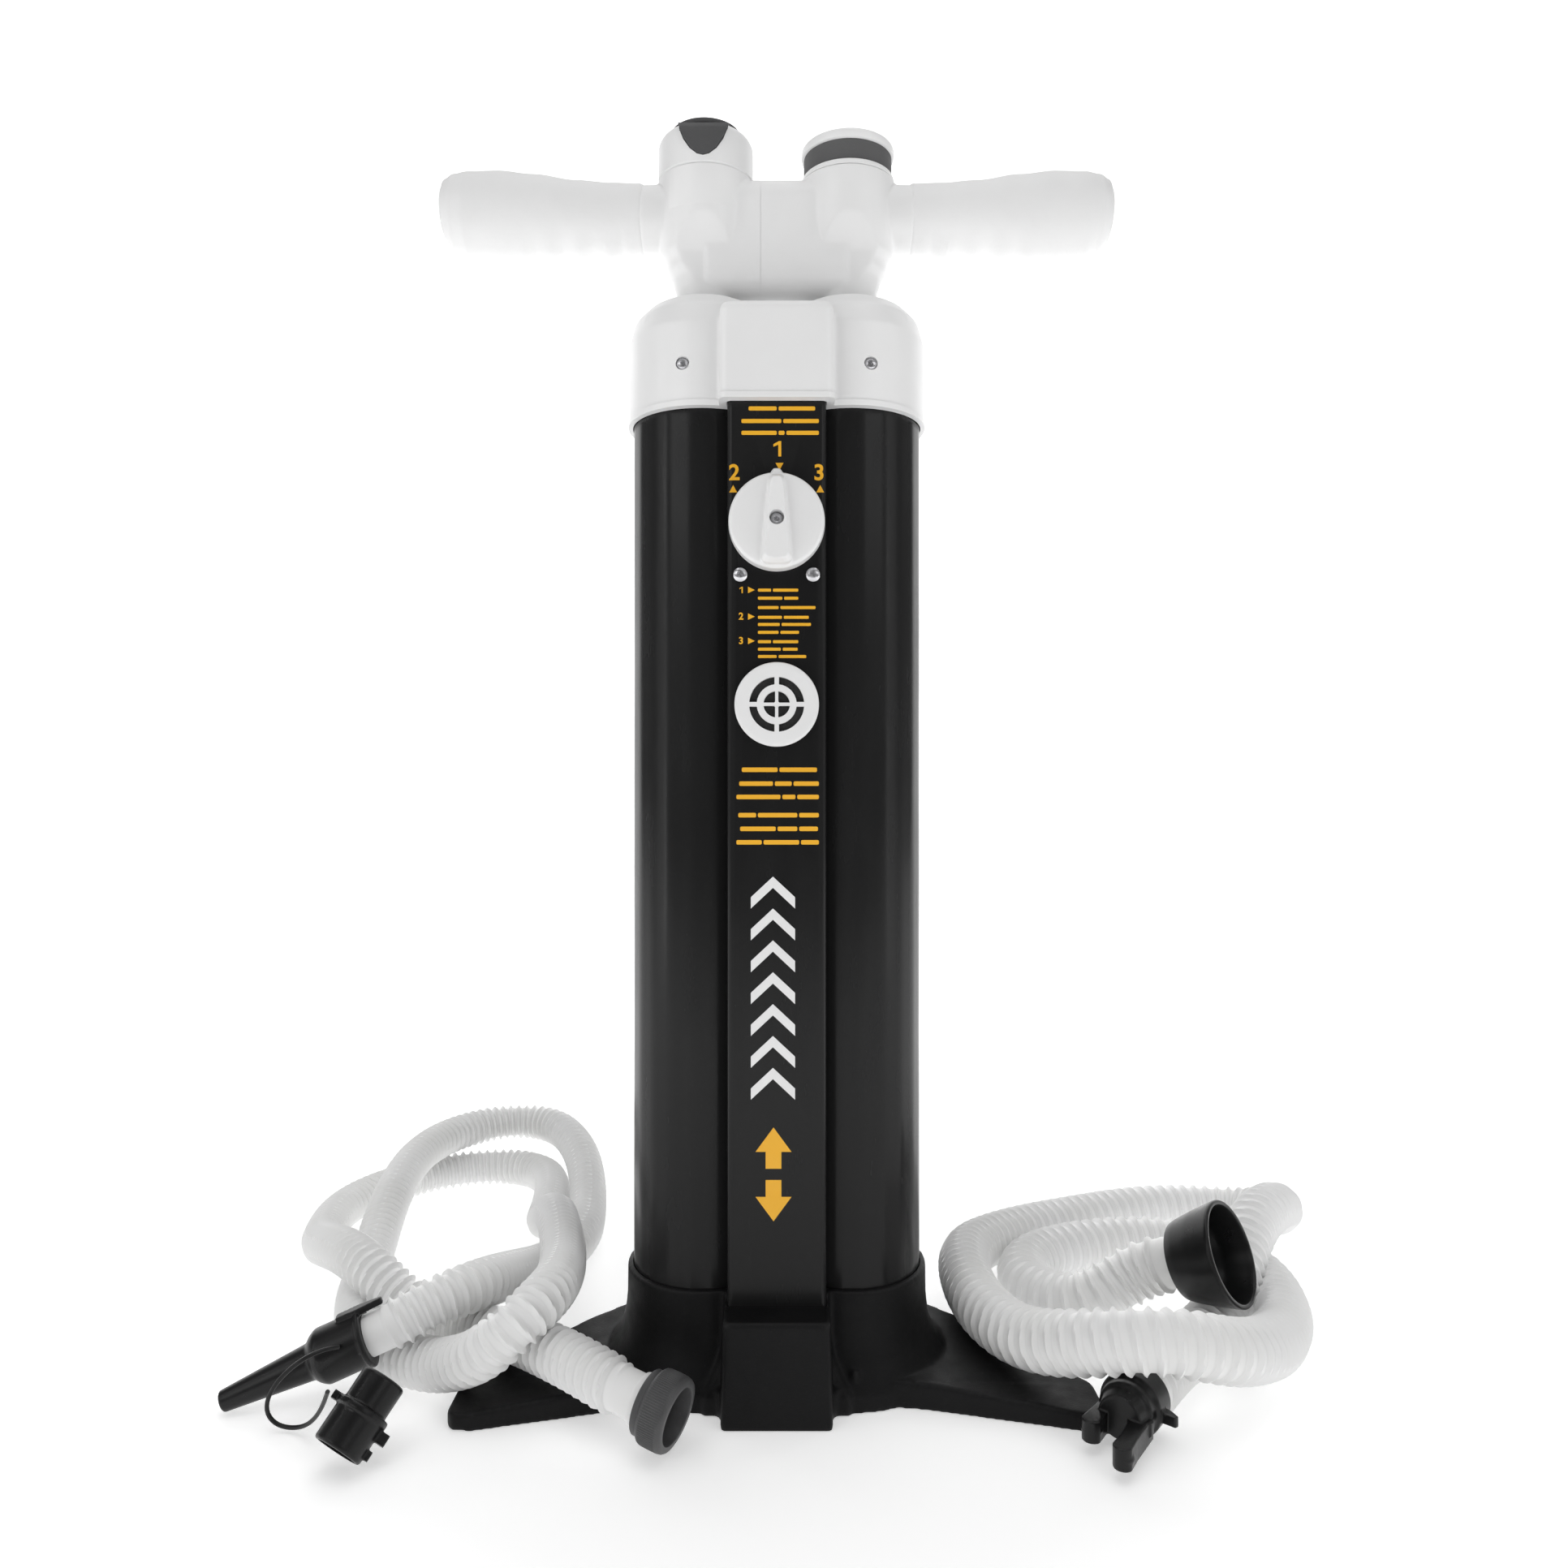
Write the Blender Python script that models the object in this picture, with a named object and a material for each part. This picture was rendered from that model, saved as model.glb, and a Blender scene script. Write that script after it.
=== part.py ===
"""Double action hand pump: two barrels side by side, one handle, a selector dial and two loose hoses.

Metres, +Z up. The origin is the middle of the underside of the base, and the front faces -Y.
"""

import math

import bmesh
import bpy
from mathutils import Matrix, Vector

# Driving dimensions
GAP = 0.0003  # clearance between pieces that touch
BARREL_X = 0.04125  # from the middle plane to each barrel's axis
BORE_R = 0.035  # inner radius of a cylinder
CYLINDER_WALL = 0.002
LOBE_A = 0.0415  # half width of one lobe of the casing
LOBE_B = 0.0440  # half depth of one lobe of the casing
PANEL_X = 0.0265  # half width of the casing's raised middle panel
PANEL_Y = 0.0560  # from the middle plane to the panel's face
CASING_WALL = 0.0022

# Heights
SOCKET_FLOOR_Z = 0.0120
PLATE_TOP_Z = 0.0245
COLLAR_TOP_Z = 0.0595
FOOT_TOP_Z = 0.0555
VENT_Z = 0.3767
PANEL_SCREW_Z = 0.4460
DIAL_Z = 0.4730
CAP_Z = 0.5385
CASING_TOP_Z = 0.5570
CAP_SCREW_Z = 0.5620
HEAD_TOP_Z = 0.5720
CAP_TOP_Z = 0.6080
HANDLE_Z = 0.6090
HUB_TOP_Z = 0.6810
PORT_TOP_Z = 0.7075

# Plan sizes
FOOT_X = 0.0290
FOOT_Y = 0.0760
ROD_R = 0.0080
DIAL_R = 0.0257
DIAL_FRONT_Y = -0.0712
VENT_R = 0.02245
HUB_X = 0.0412
HUB_R = 0.0275
GRIP_START_X = 0.0785
GRIP_END_X = 0.1930

# Hoses. A route is the centre line, from the end that fits the pump to the end that fits what it fills.
SMALL_HOSE_R = 0.01325
LARGE_HOSE_R = 0.0160
TETHER_R = 0.00115
SMALL_HOSE_SPACING = 0.034
LARGE_HOSE_SPACING = 0.042
TETHER_SPACING = 0.010
SMALL_HOSE_ROUTE = (
    (-0.0695, -0.0890, 0.0246), (-0.0860, -0.0815, 0.0284), (-0.1040, -0.0660, 0.0300),
    (-0.1250, -0.0470, 0.0290), (-0.145, -0.028, 0.0270), (-0.165, -0.009, 0.0205), (-0.186, 0.001, 0.0160),
    (-0.207, 0.009, 0.0190), (-0.228, 0.016, 0.0310), (-0.250, 0.030, 0.0430), (-0.275, 0.060, 0.0400),
    (-0.301, 0.098, 0.0270), (-0.319, 0.138, 0.0145), (-0.328, 0.180, 0.0135), (-0.325, 0.218, 0.0135),
    (-0.305, 0.256, 0.0135), (-0.276, 0.282, 0.0135), (-0.242, 0.296, 0.0135), (-0.210, 0.294, 0.0135),
    (-0.185, 0.272, 0.0135), (-0.174, 0.232, 0.0135), (-0.171, 0.190, 0.0135), (-0.166, 0.158, 0.0200),
    (-0.158, 0.132, 0.0345), (-0.148, 0.105, 0.0455), (-0.137, 0.068, 0.0440), (-0.129, 0.028, 0.0450),
    (-0.124, -0.012, 0.0520), (-0.123, -0.042, 0.0575), (-0.134, -0.066, 0.0530),
    (-0.152, -0.068, 0.0370), (-0.168, -0.054, 0.0250), (-0.186, -0.040, 0.0160),
    (-0.205, -0.028, 0.0135), (-0.228, -0.014, 0.0135), (-0.246, 0.010, 0.0135), (-0.258, 0.038, 0.0135),
    (-0.266, 0.072, 0.0135), (-0.272, 0.108, 0.0170), (-0.278, 0.145, 0.0260), (-0.282, 0.185, 0.0350),
    (-0.284, 0.234, 0.0410), (-0.275, 0.282, 0.0420), (-0.248, 0.316, 0.0430), (-0.213, 0.327, 0.0430),
    (-0.181, 0.312, 0.0410), (-0.158, 0.270, 0.0330), (-0.146, 0.226, 0.0230), (-0.140, 0.185, 0.0140),
    (-0.137, 0.148, 0.0135), (-0.144, 0.116, 0.0135), (-0.156, 0.088, 0.0160), (-0.162, 0.055, 0.0270),
    (-0.164, 0.020, 0.0390), (-0.169, -0.009, 0.0480), (-0.183, -0.025, 0.0480), (-0.197, -0.033, 0.0440),
    (-0.209, -0.0404, 0.0389), (-0.222, -0.043, 0.0340),
)
LARGE_HOSE_ROUTE = (
    (0.2380, 0.0115, 0.0518), (0.2245, 0.0221, 0.0449), (0.2110, 0.0265, 0.0355), (0.1960, 0.0250, 0.0262),
    (0.1810, 0.0290, 0.0190), (0.1670, 0.0430, 0.0162), (0.1570, 0.0620, 0.0162), (0.1600, 0.0860, 0.0162),
    (0.175, 0.107, 0.0162), (0.200, 0.120, 0.0162), (0.228, 0.129, 0.0162), (0.258, 0.132, 0.0162),
    (0.287, 0.124, 0.0162), (0.306, 0.102, 0.0162), (0.313, 0.070, 0.0162), (0.309, 0.036, 0.0162),
    (0.297, 0.004, 0.0170), (0.279, -0.026, 0.0220), (0.260, -0.053, 0.0310), (0.237, -0.077, 0.0410),
    (0.212, -0.088, 0.0510), (0.185, -0.088, 0.0534), (0.158, -0.072, 0.0435), (0.136, -0.042, 0.0300),
    (0.122, -0.008, 0.0280), (0.117, 0.026, 0.0280), (0.118, 0.058, 0.0270), (0.1245, 0.0925, 0.0250),
    (0.1465, 0.1235, 0.0210), (0.1795, 0.1510, 0.0180), (0.212, 0.168, 0.0165), (0.246, 0.184, 0.0162),
    (0.282, 0.194, 0.0162), (0.318, 0.194, 0.0162), (0.346, 0.182, 0.0180), (0.356, 0.156, 0.0270),
    (0.347, 0.126, 0.0420), (0.328, 0.100, 0.0510), (0.306, 0.076, 0.0490), (0.286, 0.048, 0.0330),
    (0.267, 0.020, 0.0175), (0.248, -0.003, 0.0162), (0.2325, -0.0190, 0.0162), (0.2170, -0.0350, 0.0162),
    (0.2030, -0.0520, 0.0162), (0.1900, -0.0690, 0.0162),
)
TETHER_ROUTE = (
    (-0.2320, -0.0602, 0.0362), (-0.2390, -0.0680, 0.0385), (-0.2500, -0.0735, 0.0340),
    (-0.2610, -0.0755, 0.0230), (-0.2650, -0.0755, 0.0110), (-0.2590, -0.0755, 0.0030),
    (-0.2480, -0.0770, 0.0022), (-0.2380, -0.0820, 0.0075), (-0.2290, -0.0905, 0.0200),
    (-0.2225, -0.1000, 0.0335),
)
NOZZLE_TIP = (-0.295, -0.058, 0.0060)
VALVE_ADAPTER_REAR = (-0.1975, -0.0900, 0.0352)
VALVE_ADAPTER_WAY = (-0.44, -0.61, -0.66)

# Sides of round pieces. Pieces that fit each other have the same number.
LARGE_SIDES = 24
SIDES = 20
SMALL_SIDES = 10

FRONT = Vector((0.0, -1.0, 0.0))
UP = Vector((0.0, 0.0, 1.0))


# Scene and materials


def clear_scene():
    for obj in list(bpy.data.objects):
        bpy.data.objects.remove(obj, do_unlink=True)


def plastic(name, colour, roughness, metallic=0.0):
    mat = bpy.data.materials.new(name)
    mat.use_nodes = True
    shader = mat.node_tree.nodes["Principled BSDF"]
    shader.inputs["Base Color"].default_value = (*colour, 1.0)
    shader.inputs["Roughness"].default_value = roughness
    shader.inputs["Metallic"].default_value = metallic
    mat.diffuse_color = (*colour, 1.0)
    return mat


# Mesh helpers


def add_object(name, bm, mat, origin=(0.0, 0.0, 0.0), smooth=35.0):
    """Closes bm into an object whose mesh is given in world space and whose origin is put at origin."""
    bmesh.ops.remove_doubles(bm, verts=bm.verts, dist=1e-6)
    bmesh.ops.recalc_face_normals(bm, faces=bm.faces)
    mesh = bpy.data.meshes.new(name)
    bm.transform(Matrix.Translation(-Vector(origin)))
    bm.to_mesh(mesh)
    bm.free()
    mesh.materials.append(mat)
    mesh.shade_smooth()
    mesh.set_sharp_from_angle(angle=math.radians(smooth))
    obj = bpy.data.objects.new(name, mesh)
    obj.location = origin
    bpy.context.scene.collection.objects.link(obj)
    return obj


def combine(target, tools, operation):
    """Applies a Boolean of target with each tool, and removes the tools."""
    for tool in tools:
        mod = target.modifiers.new("combine", "BOOLEAN")
        mod.operation = operation
        mod.solver = "EXACT"
        mod.object = tool
    graph = bpy.context.evaluated_depsgraph_get()
    made = bpy.data.meshes.new_from_object(target.evaluated_get(graph))
    target.modifiers.clear()
    target.data = made
    for tool in tools:
        bpy.data.objects.remove(tool, do_unlink=True)
    bm = bmesh.new()
    bm.from_mesh(made)
    bmesh.ops.remove_doubles(bm, verts=bm.verts, dist=2e-6)
    bmesh.ops.dissolve_degenerate(bm, dist=2e-6, edges=bm.edges)
    bm.to_mesh(made)
    bm.free()
    made.shade_smooth()
    made.set_sharp_from_angle(angle=math.radians(35.0))
    return target


def loft(rings, closed=False):
    """Joins rings of equal length with quads, and caps the two ends unless the loft is closed on itself."""
    bm = bmesh.new()
    loops = [[bm.verts.new(p) for p in ring] for ring in rings]
    count = len(rings[0])
    pairs = list(zip(loops, loops[1:]))
    if closed:
        pairs.append((loops[-1], loops[0]))
    for low, high in pairs:
        for i in range(count):
            j = (i + 1) % count
            bm.faces.new((low[i], low[j], high[j], high[i]))
    if not closed:
        bm.faces.new(loops[0])
        bm.faces.new(loops[-1])
    return bm


def flat_ring(outline, z):
    return [(x, y, z) for x, y in outline]


def prism(outline, z0, z1):
    return loft([flat_ring(outline, z0), flat_ring(outline, z1)])


def turned(profile, centre, axis, segments=SIDES, closed=False):
    """Spins a profile of (radius, height) points about an axis through centre; closed joins its two ends."""
    bm = bmesh.new()
    verts = [bm.verts.new((r, 0.0, h)) for r, h in profile]
    pairs = list(zip(verts, verts[1:]))
    if closed:
        pairs.append((verts[-1], verts[0]))
    edges = [bm.edges.new(pair) for pair in pairs]
    bmesh.ops.spin(
        bm,
        geom=verts + edges,
        cent=(0.0, 0.0, 0.0),
        axis=(0.0, 0.0, 1.0),
        angle=math.tau,
        steps=segments,
        use_merge=True,
    )
    bmesh.ops.remove_doubles(bm, verts=bm.verts, dist=1e-6)
    turn = UP.rotation_difference(Vector(axis)).to_matrix().to_4x4()
    bm.transform(Matrix.Translation(centre) @ turn)
    return bm


def pipe(inner, outer, h0, h1, centre, axis=UP, segments=SIDES):
    """A plain tube from height h0 to h1 along the axis."""
    profile = [(inner, h0), (outer, h0), (outer, h1), (inner, h1)]
    return turned(profile, centre, axis, segments, closed=True)


def rod(radius, h0, h1, centre, axis=UP, segments=SIDES):
    """A plain solid cylinder from height h0 to h1 along the axis."""
    profile = [(0.0, h0), (radius, h0), (radius, h1), (0.0, h1)]
    return turned(profile, centre, axis, segments)


def arc(cx, cy, radius, start, end, steps):
    """Points of a round stretch, from one angle to the other, in degrees."""
    points = []
    for i in range(steps + 1):
        a = math.radians(start + (end - start) * i / steps)
        points.append((cx + radius * math.cos(a), cy + radius * math.sin(a)))
    return points


def rounded_box(half_x, half_y, radius, steps=3, centre=(0.0, 0.0)):
    """Outline of a rectangle with round corners, anticlockwise."""
    points = []
    for sx, sy, start in ((1, 1, 0), (-1, 1, 90), (-1, -1, 180), (1, -1, 270)):
        cx = centre[0] + sx * (half_x - radius)
        cy = centre[1] + sy * (half_y - radius)
        points += arc(cx, cy, radius, start, start + 90, steps)
    return points


def ellipse(half_x, half_y, steps, centre=(0.0, 0.0)):
    points = []
    for i in range(steps):
        a = math.tau * i / steps
        points.append((centre[0] + half_x * math.cos(a), centre[1] + half_y * math.sin(a)))
    return points


def body_outline(grow, front=PANEL_Y, half=PANEL_X, corner=0.003):
    """Plan of the casing, two lobes with a raised panel front and back, grown outwards by grow."""
    lobe_steps = 7
    a = LOBE_A + grow
    b = LOBE_B + grow
    x0 = half + grow
    y0 = front + grow
    quarter = arc(x0 - corner, y0 - corner, corner, 90, 0, 3)
    first = math.acos((x0 - BARREL_X) / a)
    for i in range(lobe_steps + 1):
        t = first * (1 - i / lobe_steps)
        quarter.append((BARREL_X + a * math.cos(t), b * math.sin(t)))
    right = quarter + [(x, -y) for x, y in reversed(quarter[:-1])]
    return right + [(-x, -y) for x, y in right]


# The pump's body


def make_base(mat):
    """One moulding: a socket for the casing, a foot box front and back, and a wing each side to stand on."""
    skirt = ((0.0, 0.0150), (0.0100, 0.0150), (0.0150, 0.0120), (0.0200, 0.0088), (0.0260, 0.0062))
    skirt += ((0.0330, 0.0044), (0.0420, 0.0034), (COLLAR_TOP_Z, 0.0032))
    socket_half = PANEL_X - 0.0015
    rings = [flat_ring(body_outline(grow, front=0.047, half=socket_half), z) for z, grow in skirt]
    base = add_object("base", loft(rings), mat)
    foot_low = rounded_box(FOOT_X + 0.0004, FOOT_Y, 0.0030)
    foot_high = rounded_box(FOOT_X - 0.0010, FOOT_Y - 0.0006, 0.0030)
    crown = rounded_box(FOOT_X - 0.0020, FOOT_Y - 0.0016, 0.0030)
    foot = loft([
        flat_ring(foot_low, 0.0),
        flat_ring(foot_high, FOOT_TOP_Z - 0.0012),
        flat_ring(crown, FOOT_TOP_Z),
    ])
    parts = [add_object("foot", foot, mat)]
    for side in (-1, 1):
        parts.append(make_wing(side, mat))
    combine(base, parts, "UNION")
    socket = prism(body_outline(0.0004), SOCKET_FLOOR_Z, COLLAR_TOP_Z + 0.01)
    return combine(base, [add_object("socket", socket, mat)], "DIFFERENCE")


def make_wing(side, mat):
    """A flat wing, swept forward, thicker at its root than at its tip, with a rounded upper edge."""
    root_h = 0.0145
    tip_h = 0.0085
    tip_x = 0.1720
    edge = 0.0016
    plan = [(0.0280, -0.0700), (0.0310, -0.0625), (0.0400, -0.0555), (0.0560, -0.0535), (0.0810, -0.0560), (0.1575, -0.0758)]
    plan += arc(0.1640, -0.0678, 0.0080, -70, 0, 4)
    plan += [(tip_x, -0.0480)]
    plan += arc(0.1640, -0.0460, 0.0080, 10, 48, 2)
    plan += [(0.1310, 0.0060), (0.1100, 0.0280), (0.0900, 0.0440), (0.0300, 0.0470)]

    def height(x):
        share = min(max((x - 0.08) / (tip_x - 0.08), 0.0), 1.0)
        return root_h + (tip_h - root_h) * share

    middle = Vector((0.100, -0.020, 0.0))
    rings = [
        [(side * x, y, 0.0) for x, y in plan],
        [(side * x, y, height(x) - edge) for x, y in plan],
    ]
    crown = []
    for x, y in plan:
        inward = (middle - Vector((x, y, 0.0))).normalized() * edge
        crown.append((side * (x + inward.x), y + inward.y, height(x)))
    rings.append(crown)
    return add_object("wing", loft(rings), mat)


def make_casing(mat):
    """The tall outer shell with holes for the selector's spindle, the vent and two panel screws."""
    rings = []
    for grow, z in ((0.0, SOCKET_FLOOR_Z + GAP), (0.0, CASING_TOP_Z)):
        rings.append(flat_ring(body_outline(grow), z))
    for grow, z in ((-CASING_WALL, CASING_TOP_Z), (-CASING_WALL, SOCKET_FLOOR_Z + GAP)):
        rings.append(flat_ring(body_outline(grow), z))
    casing = add_object("casing", loft(rings, closed=True), mat)
    face = Vector((0.0, -PANEL_Y, 0.0))
    cuts = [(0.0070, 0.0, DIAL_Z), (0.0178, 0.0, VENT_Z)]
    cuts += [(0.0018, side * 0.0194, PANEL_SCREW_Z) for side in (-1, 1)]
    tools = []
    for radius, x, z in cuts:
        hole = rod(radius, -0.006, 0.006, face + Vector((x, 0.0, z)), FRONT)
        tools.append(add_object("hole", hole, mat))
    return combine(casing, tools, "DIFFERENCE")


def make_cylinder(name, side, mat):
    centre = (side * BARREL_X, 0.0, 0.0)
    tube = pipe(BORE_R, BORE_R + CYLINDER_WALL, PLATE_TOP_Z + GAP, CASING_TOP_Z, centre, UP, LARGE_SIDES)
    return add_object(name, tube, mat, (side * BARREL_X, 0.0, PLATE_TOP_Z))


def make_valve_plate(mat):
    """Closes the barrels' lower ends. Each side has an intake hole below a pocket for its valve disc."""
    outline = body_outline(-CASING_WALL - 0.0004)
    plate = add_object("valve_plate", prism(outline, SOCKET_FLOOR_Z + GAP, PLATE_TOP_Z), mat)
    tools = []
    for side in (-1, 1):
        at = Vector((side * BARREL_X, 0.0, 0.0))
        tools.append(add_object("port", rod(0.0055, 0.005, 0.03, at, UP, SMALL_SIDES), mat))
        tools.append(add_object("pocket", rod(0.0104, 0.0220, 0.03, at, UP), mat))
    return combine(plate, tools, "DIFFERENCE")


def make_valve_disc(name, side, mat):
    low = 0.0220 + GAP
    disc = rod(0.0100, 0.0, 0.0015, (side * BARREL_X, 0.0, low), UP)
    return add_object(name, disc, mat, (side * BARREL_X, 0.0, low))


def make_cylinder_head(mat):
    """Closes the barrels' upper ends, holds the rod guides and takes the cap's screws."""
    outline = body_outline(-0.0004)
    head = add_object("cylinder_head", prism(outline, CASING_TOP_Z + GAP, HEAD_TOP_Z), mat)
    tools = []
    for side in (-1, 1):
        at = Vector((side * BARREL_X, 0.0, 0.0))
        tools.append(add_object("bore", rod(0.0128, 0.55, 0.58, at, UP), mat))
        for face in (-1, 1):
            at = Vector((side * 0.051, 0.0, CAP_SCREW_Z))
            tools.append(add_object("pilot", rod(0.0017, 0.033, 0.060, at, (0, face, 0), SMALL_SIDES), mat))
    return combine(head, tools, "DIFFERENCE")


def make_cap(mat):
    """White cover over the casing's top: two domed lobes, a middle box, rod holes and four screw recesses."""
    lip = 0.0006
    dome = (
        (CAP_Z, lip),
        (CAP_Z + 0.0034, lip),
        (CAP_Z + 0.0040, 0.0),
        (0.5850, 0.0),
        (0.5960, -0.0030),
        (0.6030, -0.0095),
        (0.6065, -0.0160),
        (CAP_TOP_Z, -0.0215),
    )
    lobes = []
    for side in (-1, 1):
        rings = []
        for z, grow in dome:
            outline = ellipse(0.0438 + grow, 0.0490 + grow * 1.12, LARGE_SIDES, (side * BARREL_X, 0.0))
            rings.append(flat_ring(outline, z))
        lobes.append(add_object("top_cap", loft(rings), mat))
    box = loft([
        flat_ring(rounded_box(0.0310, 0.0625, 0.004), CAP_Z),
        flat_ring(rounded_box(0.0310, 0.0625, 0.004), CAP_Z + 0.0034),
        flat_ring(rounded_box(0.0305, 0.0620, 0.004), CAP_Z + 0.0040),
        flat_ring(rounded_box(0.0303, 0.0616, 0.004), 0.5875),
        flat_ring(rounded_box(0.0292, 0.0604, 0.004), 0.5902),
        flat_ring(rounded_box(0.0270, 0.0580, 0.004), 0.5915),
        flat_ring(rounded_box(0.0240, 0.0300, 0.004), 0.6000),
    ])
    cap = combine(lobes[0], [lobes[1], add_object("box", box, mat)], "UNION")
    tools = [
        add_object("cavity", prism(body_outline(0.0004), 0.5300, HEAD_TOP_Z + GAP), mat),
        add_object("relief", prism(body_outline(-0.0050), 0.5600, 0.5835), mat),
    ]
    for side in (-1, 1):
        at = Vector((side * BARREL_X, 0.0, 0.0))
        tools.append(add_object("bore", rod(0.0128, 0.55, 0.62, at, UP), mat))
        for face in (-1, 1):
            at = Vector((side * 0.051, 0.0, CAP_SCREW_Z))
            axis = (0, face, 0)
            tools.append(add_object("hole", rod(0.0017, 0.035, 0.060, at, axis, SMALL_SIDES), mat))
            tools.append(add_object("recess", rod(0.0037, 0.0448, 0.060, at, axis, SMALL_SIDES), mat))
    cap = combine(cap, tools, "DIFFERENCE")
    cap.name = "top_cap"
    return cap


def make_screw(name, head_r, shank_r, length, tip, axis, mat):
    """A pan head screw. tip is where its shank ends, axis points out of the head."""
    head = 0.0020
    profile = [
        (0.0, 0.0),
        (shank_r, 0.0),
        (shank_r, length),
        (head_r, length),
        (head_r, length + head * 0.5),
        (head_r * 0.75, length + head),
        (0.0, length + head),
    ]
    return add_object(name, turned(profile, tip, axis, SMALL_SIDES), mat, tip)


def make_rod_guide(name, side, mat):
    """A bush through the head and the cap, with a counterbore at its top for the wiper."""
    inner = ROD_R + GAP
    profile = [
        (inner, 0.5600),
        (0.0125, 0.5600),
        (0.0125, CAP_TOP_Z - 0.0004),
        (0.0113, CAP_TOP_Z - 0.0004),
        (0.0113, CAP_TOP_Z - 0.0036),
        (inner, CAP_TOP_Z - 0.0036),
    ]
    return add_object(name, turned(profile, (side * BARREL_X, 0, 0), UP, closed=True), mat)


def make_wiper(name, side, mat):
    z0 = CAP_TOP_Z - 0.0036 + GAP
    ring = pipe(ROD_R + 0.0002, 0.0110, z0, z0 + 0.0028, (side * BARREL_X, 0, 0), UP)
    return add_object(name, ring, mat)


# Selector, vent and panel


def make_dial(mat):
    """Round knob on the panel with a tapered grip bar across it and a pointer at its rim."""
    back = Vector((0.0, -PANEL_Y - GAP, DIAL_Z))
    depth = -DIAL_FRONT_Y - PANEL_Y - GAP
    profile = [
        (0.0, 0.0),
        (DIAL_R - 0.0008, 0.0),
        (DIAL_R, 0.0012),
        (DIAL_R - 0.0004, depth * 0.62),
        (DIAL_R - 0.0016, depth * 0.70),
        (DIAL_R - 0.0060, depth * 0.73),
        (0.0, depth * 0.73),
    ]
    dial = add_object("dial", turned(profile, back, FRONT, LARGE_SIDES), mat)
    steps = ((back.y - 0.002, 0.0066, 0.0240), (-0.0700, 0.0062, 0.0232), (DIAL_FRONT_Y - 0.0026, 0.0048, 0.0212))
    bar = []
    for y, half_w, half_h in steps:
        outline = rounded_box(half_w, half_h, 0.0034)
        bar.append([(x * (1 - 0.34 * z / half_h), y, DIAL_Z + z) for x, z in outline])
    steps = ((back.y - 0.0004, 0.0034, 0.0281), (-0.0640, 0.0032, 0.0278), (-0.0660, 0.0020, 0.0266))
    pointer = []
    for y, half_w, top in steps:
        right = [(half_w, 0.0200), (half_w, top - 0.002), (half_w * 0.5, top)]
        outline = right + [(-x, z) for x, z in reversed(right)]
        pointer.append([(x, y, DIAL_Z + z) for x, z in outline])
    combine(dial, [add_object("bar", loft(bar), mat), add_object("pointer", loft(pointer), mat)], "UNION")
    well = rod(0.0039, 0.0105, 0.0300, back, FRONT, SMALL_SIDES)
    combine(dial, [add_object("well", well, mat)], "DIFFERENCE")
    dial.data.transform(Matrix.Translation(-back))
    dial.location = back
    return dial


def make_selector_spindle(mat):
    """Turns with the dial and reaches through the panel into the selector block."""
    at = (0.0, -0.0400, DIAL_Z)
    reach = PANEL_Y - 0.0400
    profile = [(0.0, 0.0), (0.0062, 0.0), (0.0062, 0.010), (0.0064, reach), (0.0, reach)]
    return add_object("selector_spindle", turned(profile, at, FRONT), mat, at)


def make_selector_block(mat):
    """The valve body behind the panel that joins the two barrels' air ways."""
    outline = rounded_box(0.0225, 0.0074, 0.002, 2, (0.0, -0.0455))
    block = add_object("selector_block", prism(outline, 0.4400, 0.4960), mat)
    tools = [add_object("bore", rod(0.0068, -0.002, 0.020, (0, -0.0380, DIAL_Z), FRONT), mat)]
    for side in (-1, 1):
        at = (side * 0.0194, -0.0470, PANEL_SCREW_Z)
        tools.append(add_object("pilot", rod(0.0018, 0.0, 0.010, at, FRONT, SMALL_SIDES), mat))
    return combine(block, tools, "DIFFERENCE")


def make_vent_grille(mat):
    """A slotted disc over the vent: four long arc slots, and four quarter round holes inside a ring."""
    back = Vector((0.0, -PANEL_Y - GAP, VENT_Z))
    profile = [
        (0.0, 0.0),
        (VENT_R, 0.0),
        (VENT_R, 0.0022),
        (VENT_R - 0.0012, 0.0034),
        (0.0, 0.0037),
    ]
    grille = add_object("vent_grille", turned(profile, back, FRONT, LARGE_SIDES), mat)
    tools = []
    for inner, outer, margin in ((0.0016, 0.0070, 16.0), (0.0106, 0.0145, 6.0)):
        for quarter in range(4):
            start = 90 * quarter + margin
            outline = arc(0.0, 0.0, outer, start, 90 * quarter + 90 - margin, 5)
            outline += arc(0.0, 0.0, inner, 90 * quarter + 90 - margin, start, 3)
            rings = [[(x, y, VENT_Z + z) for x, z in outline] for y in (-0.070, -0.050)]
            tools.append(add_object("slot", loft(rings), mat))
    return combine(grille, tools, "DIFFERENCE")


def make_vent_filter(mat):
    disc = rod(0.0172, 0.0, 0.0056, (0.0, -0.0500, VENT_Z), FRONT)
    return add_object("vent_filter", disc, mat)


# Plunger: handle, rods, pistons, port and gauge


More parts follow.
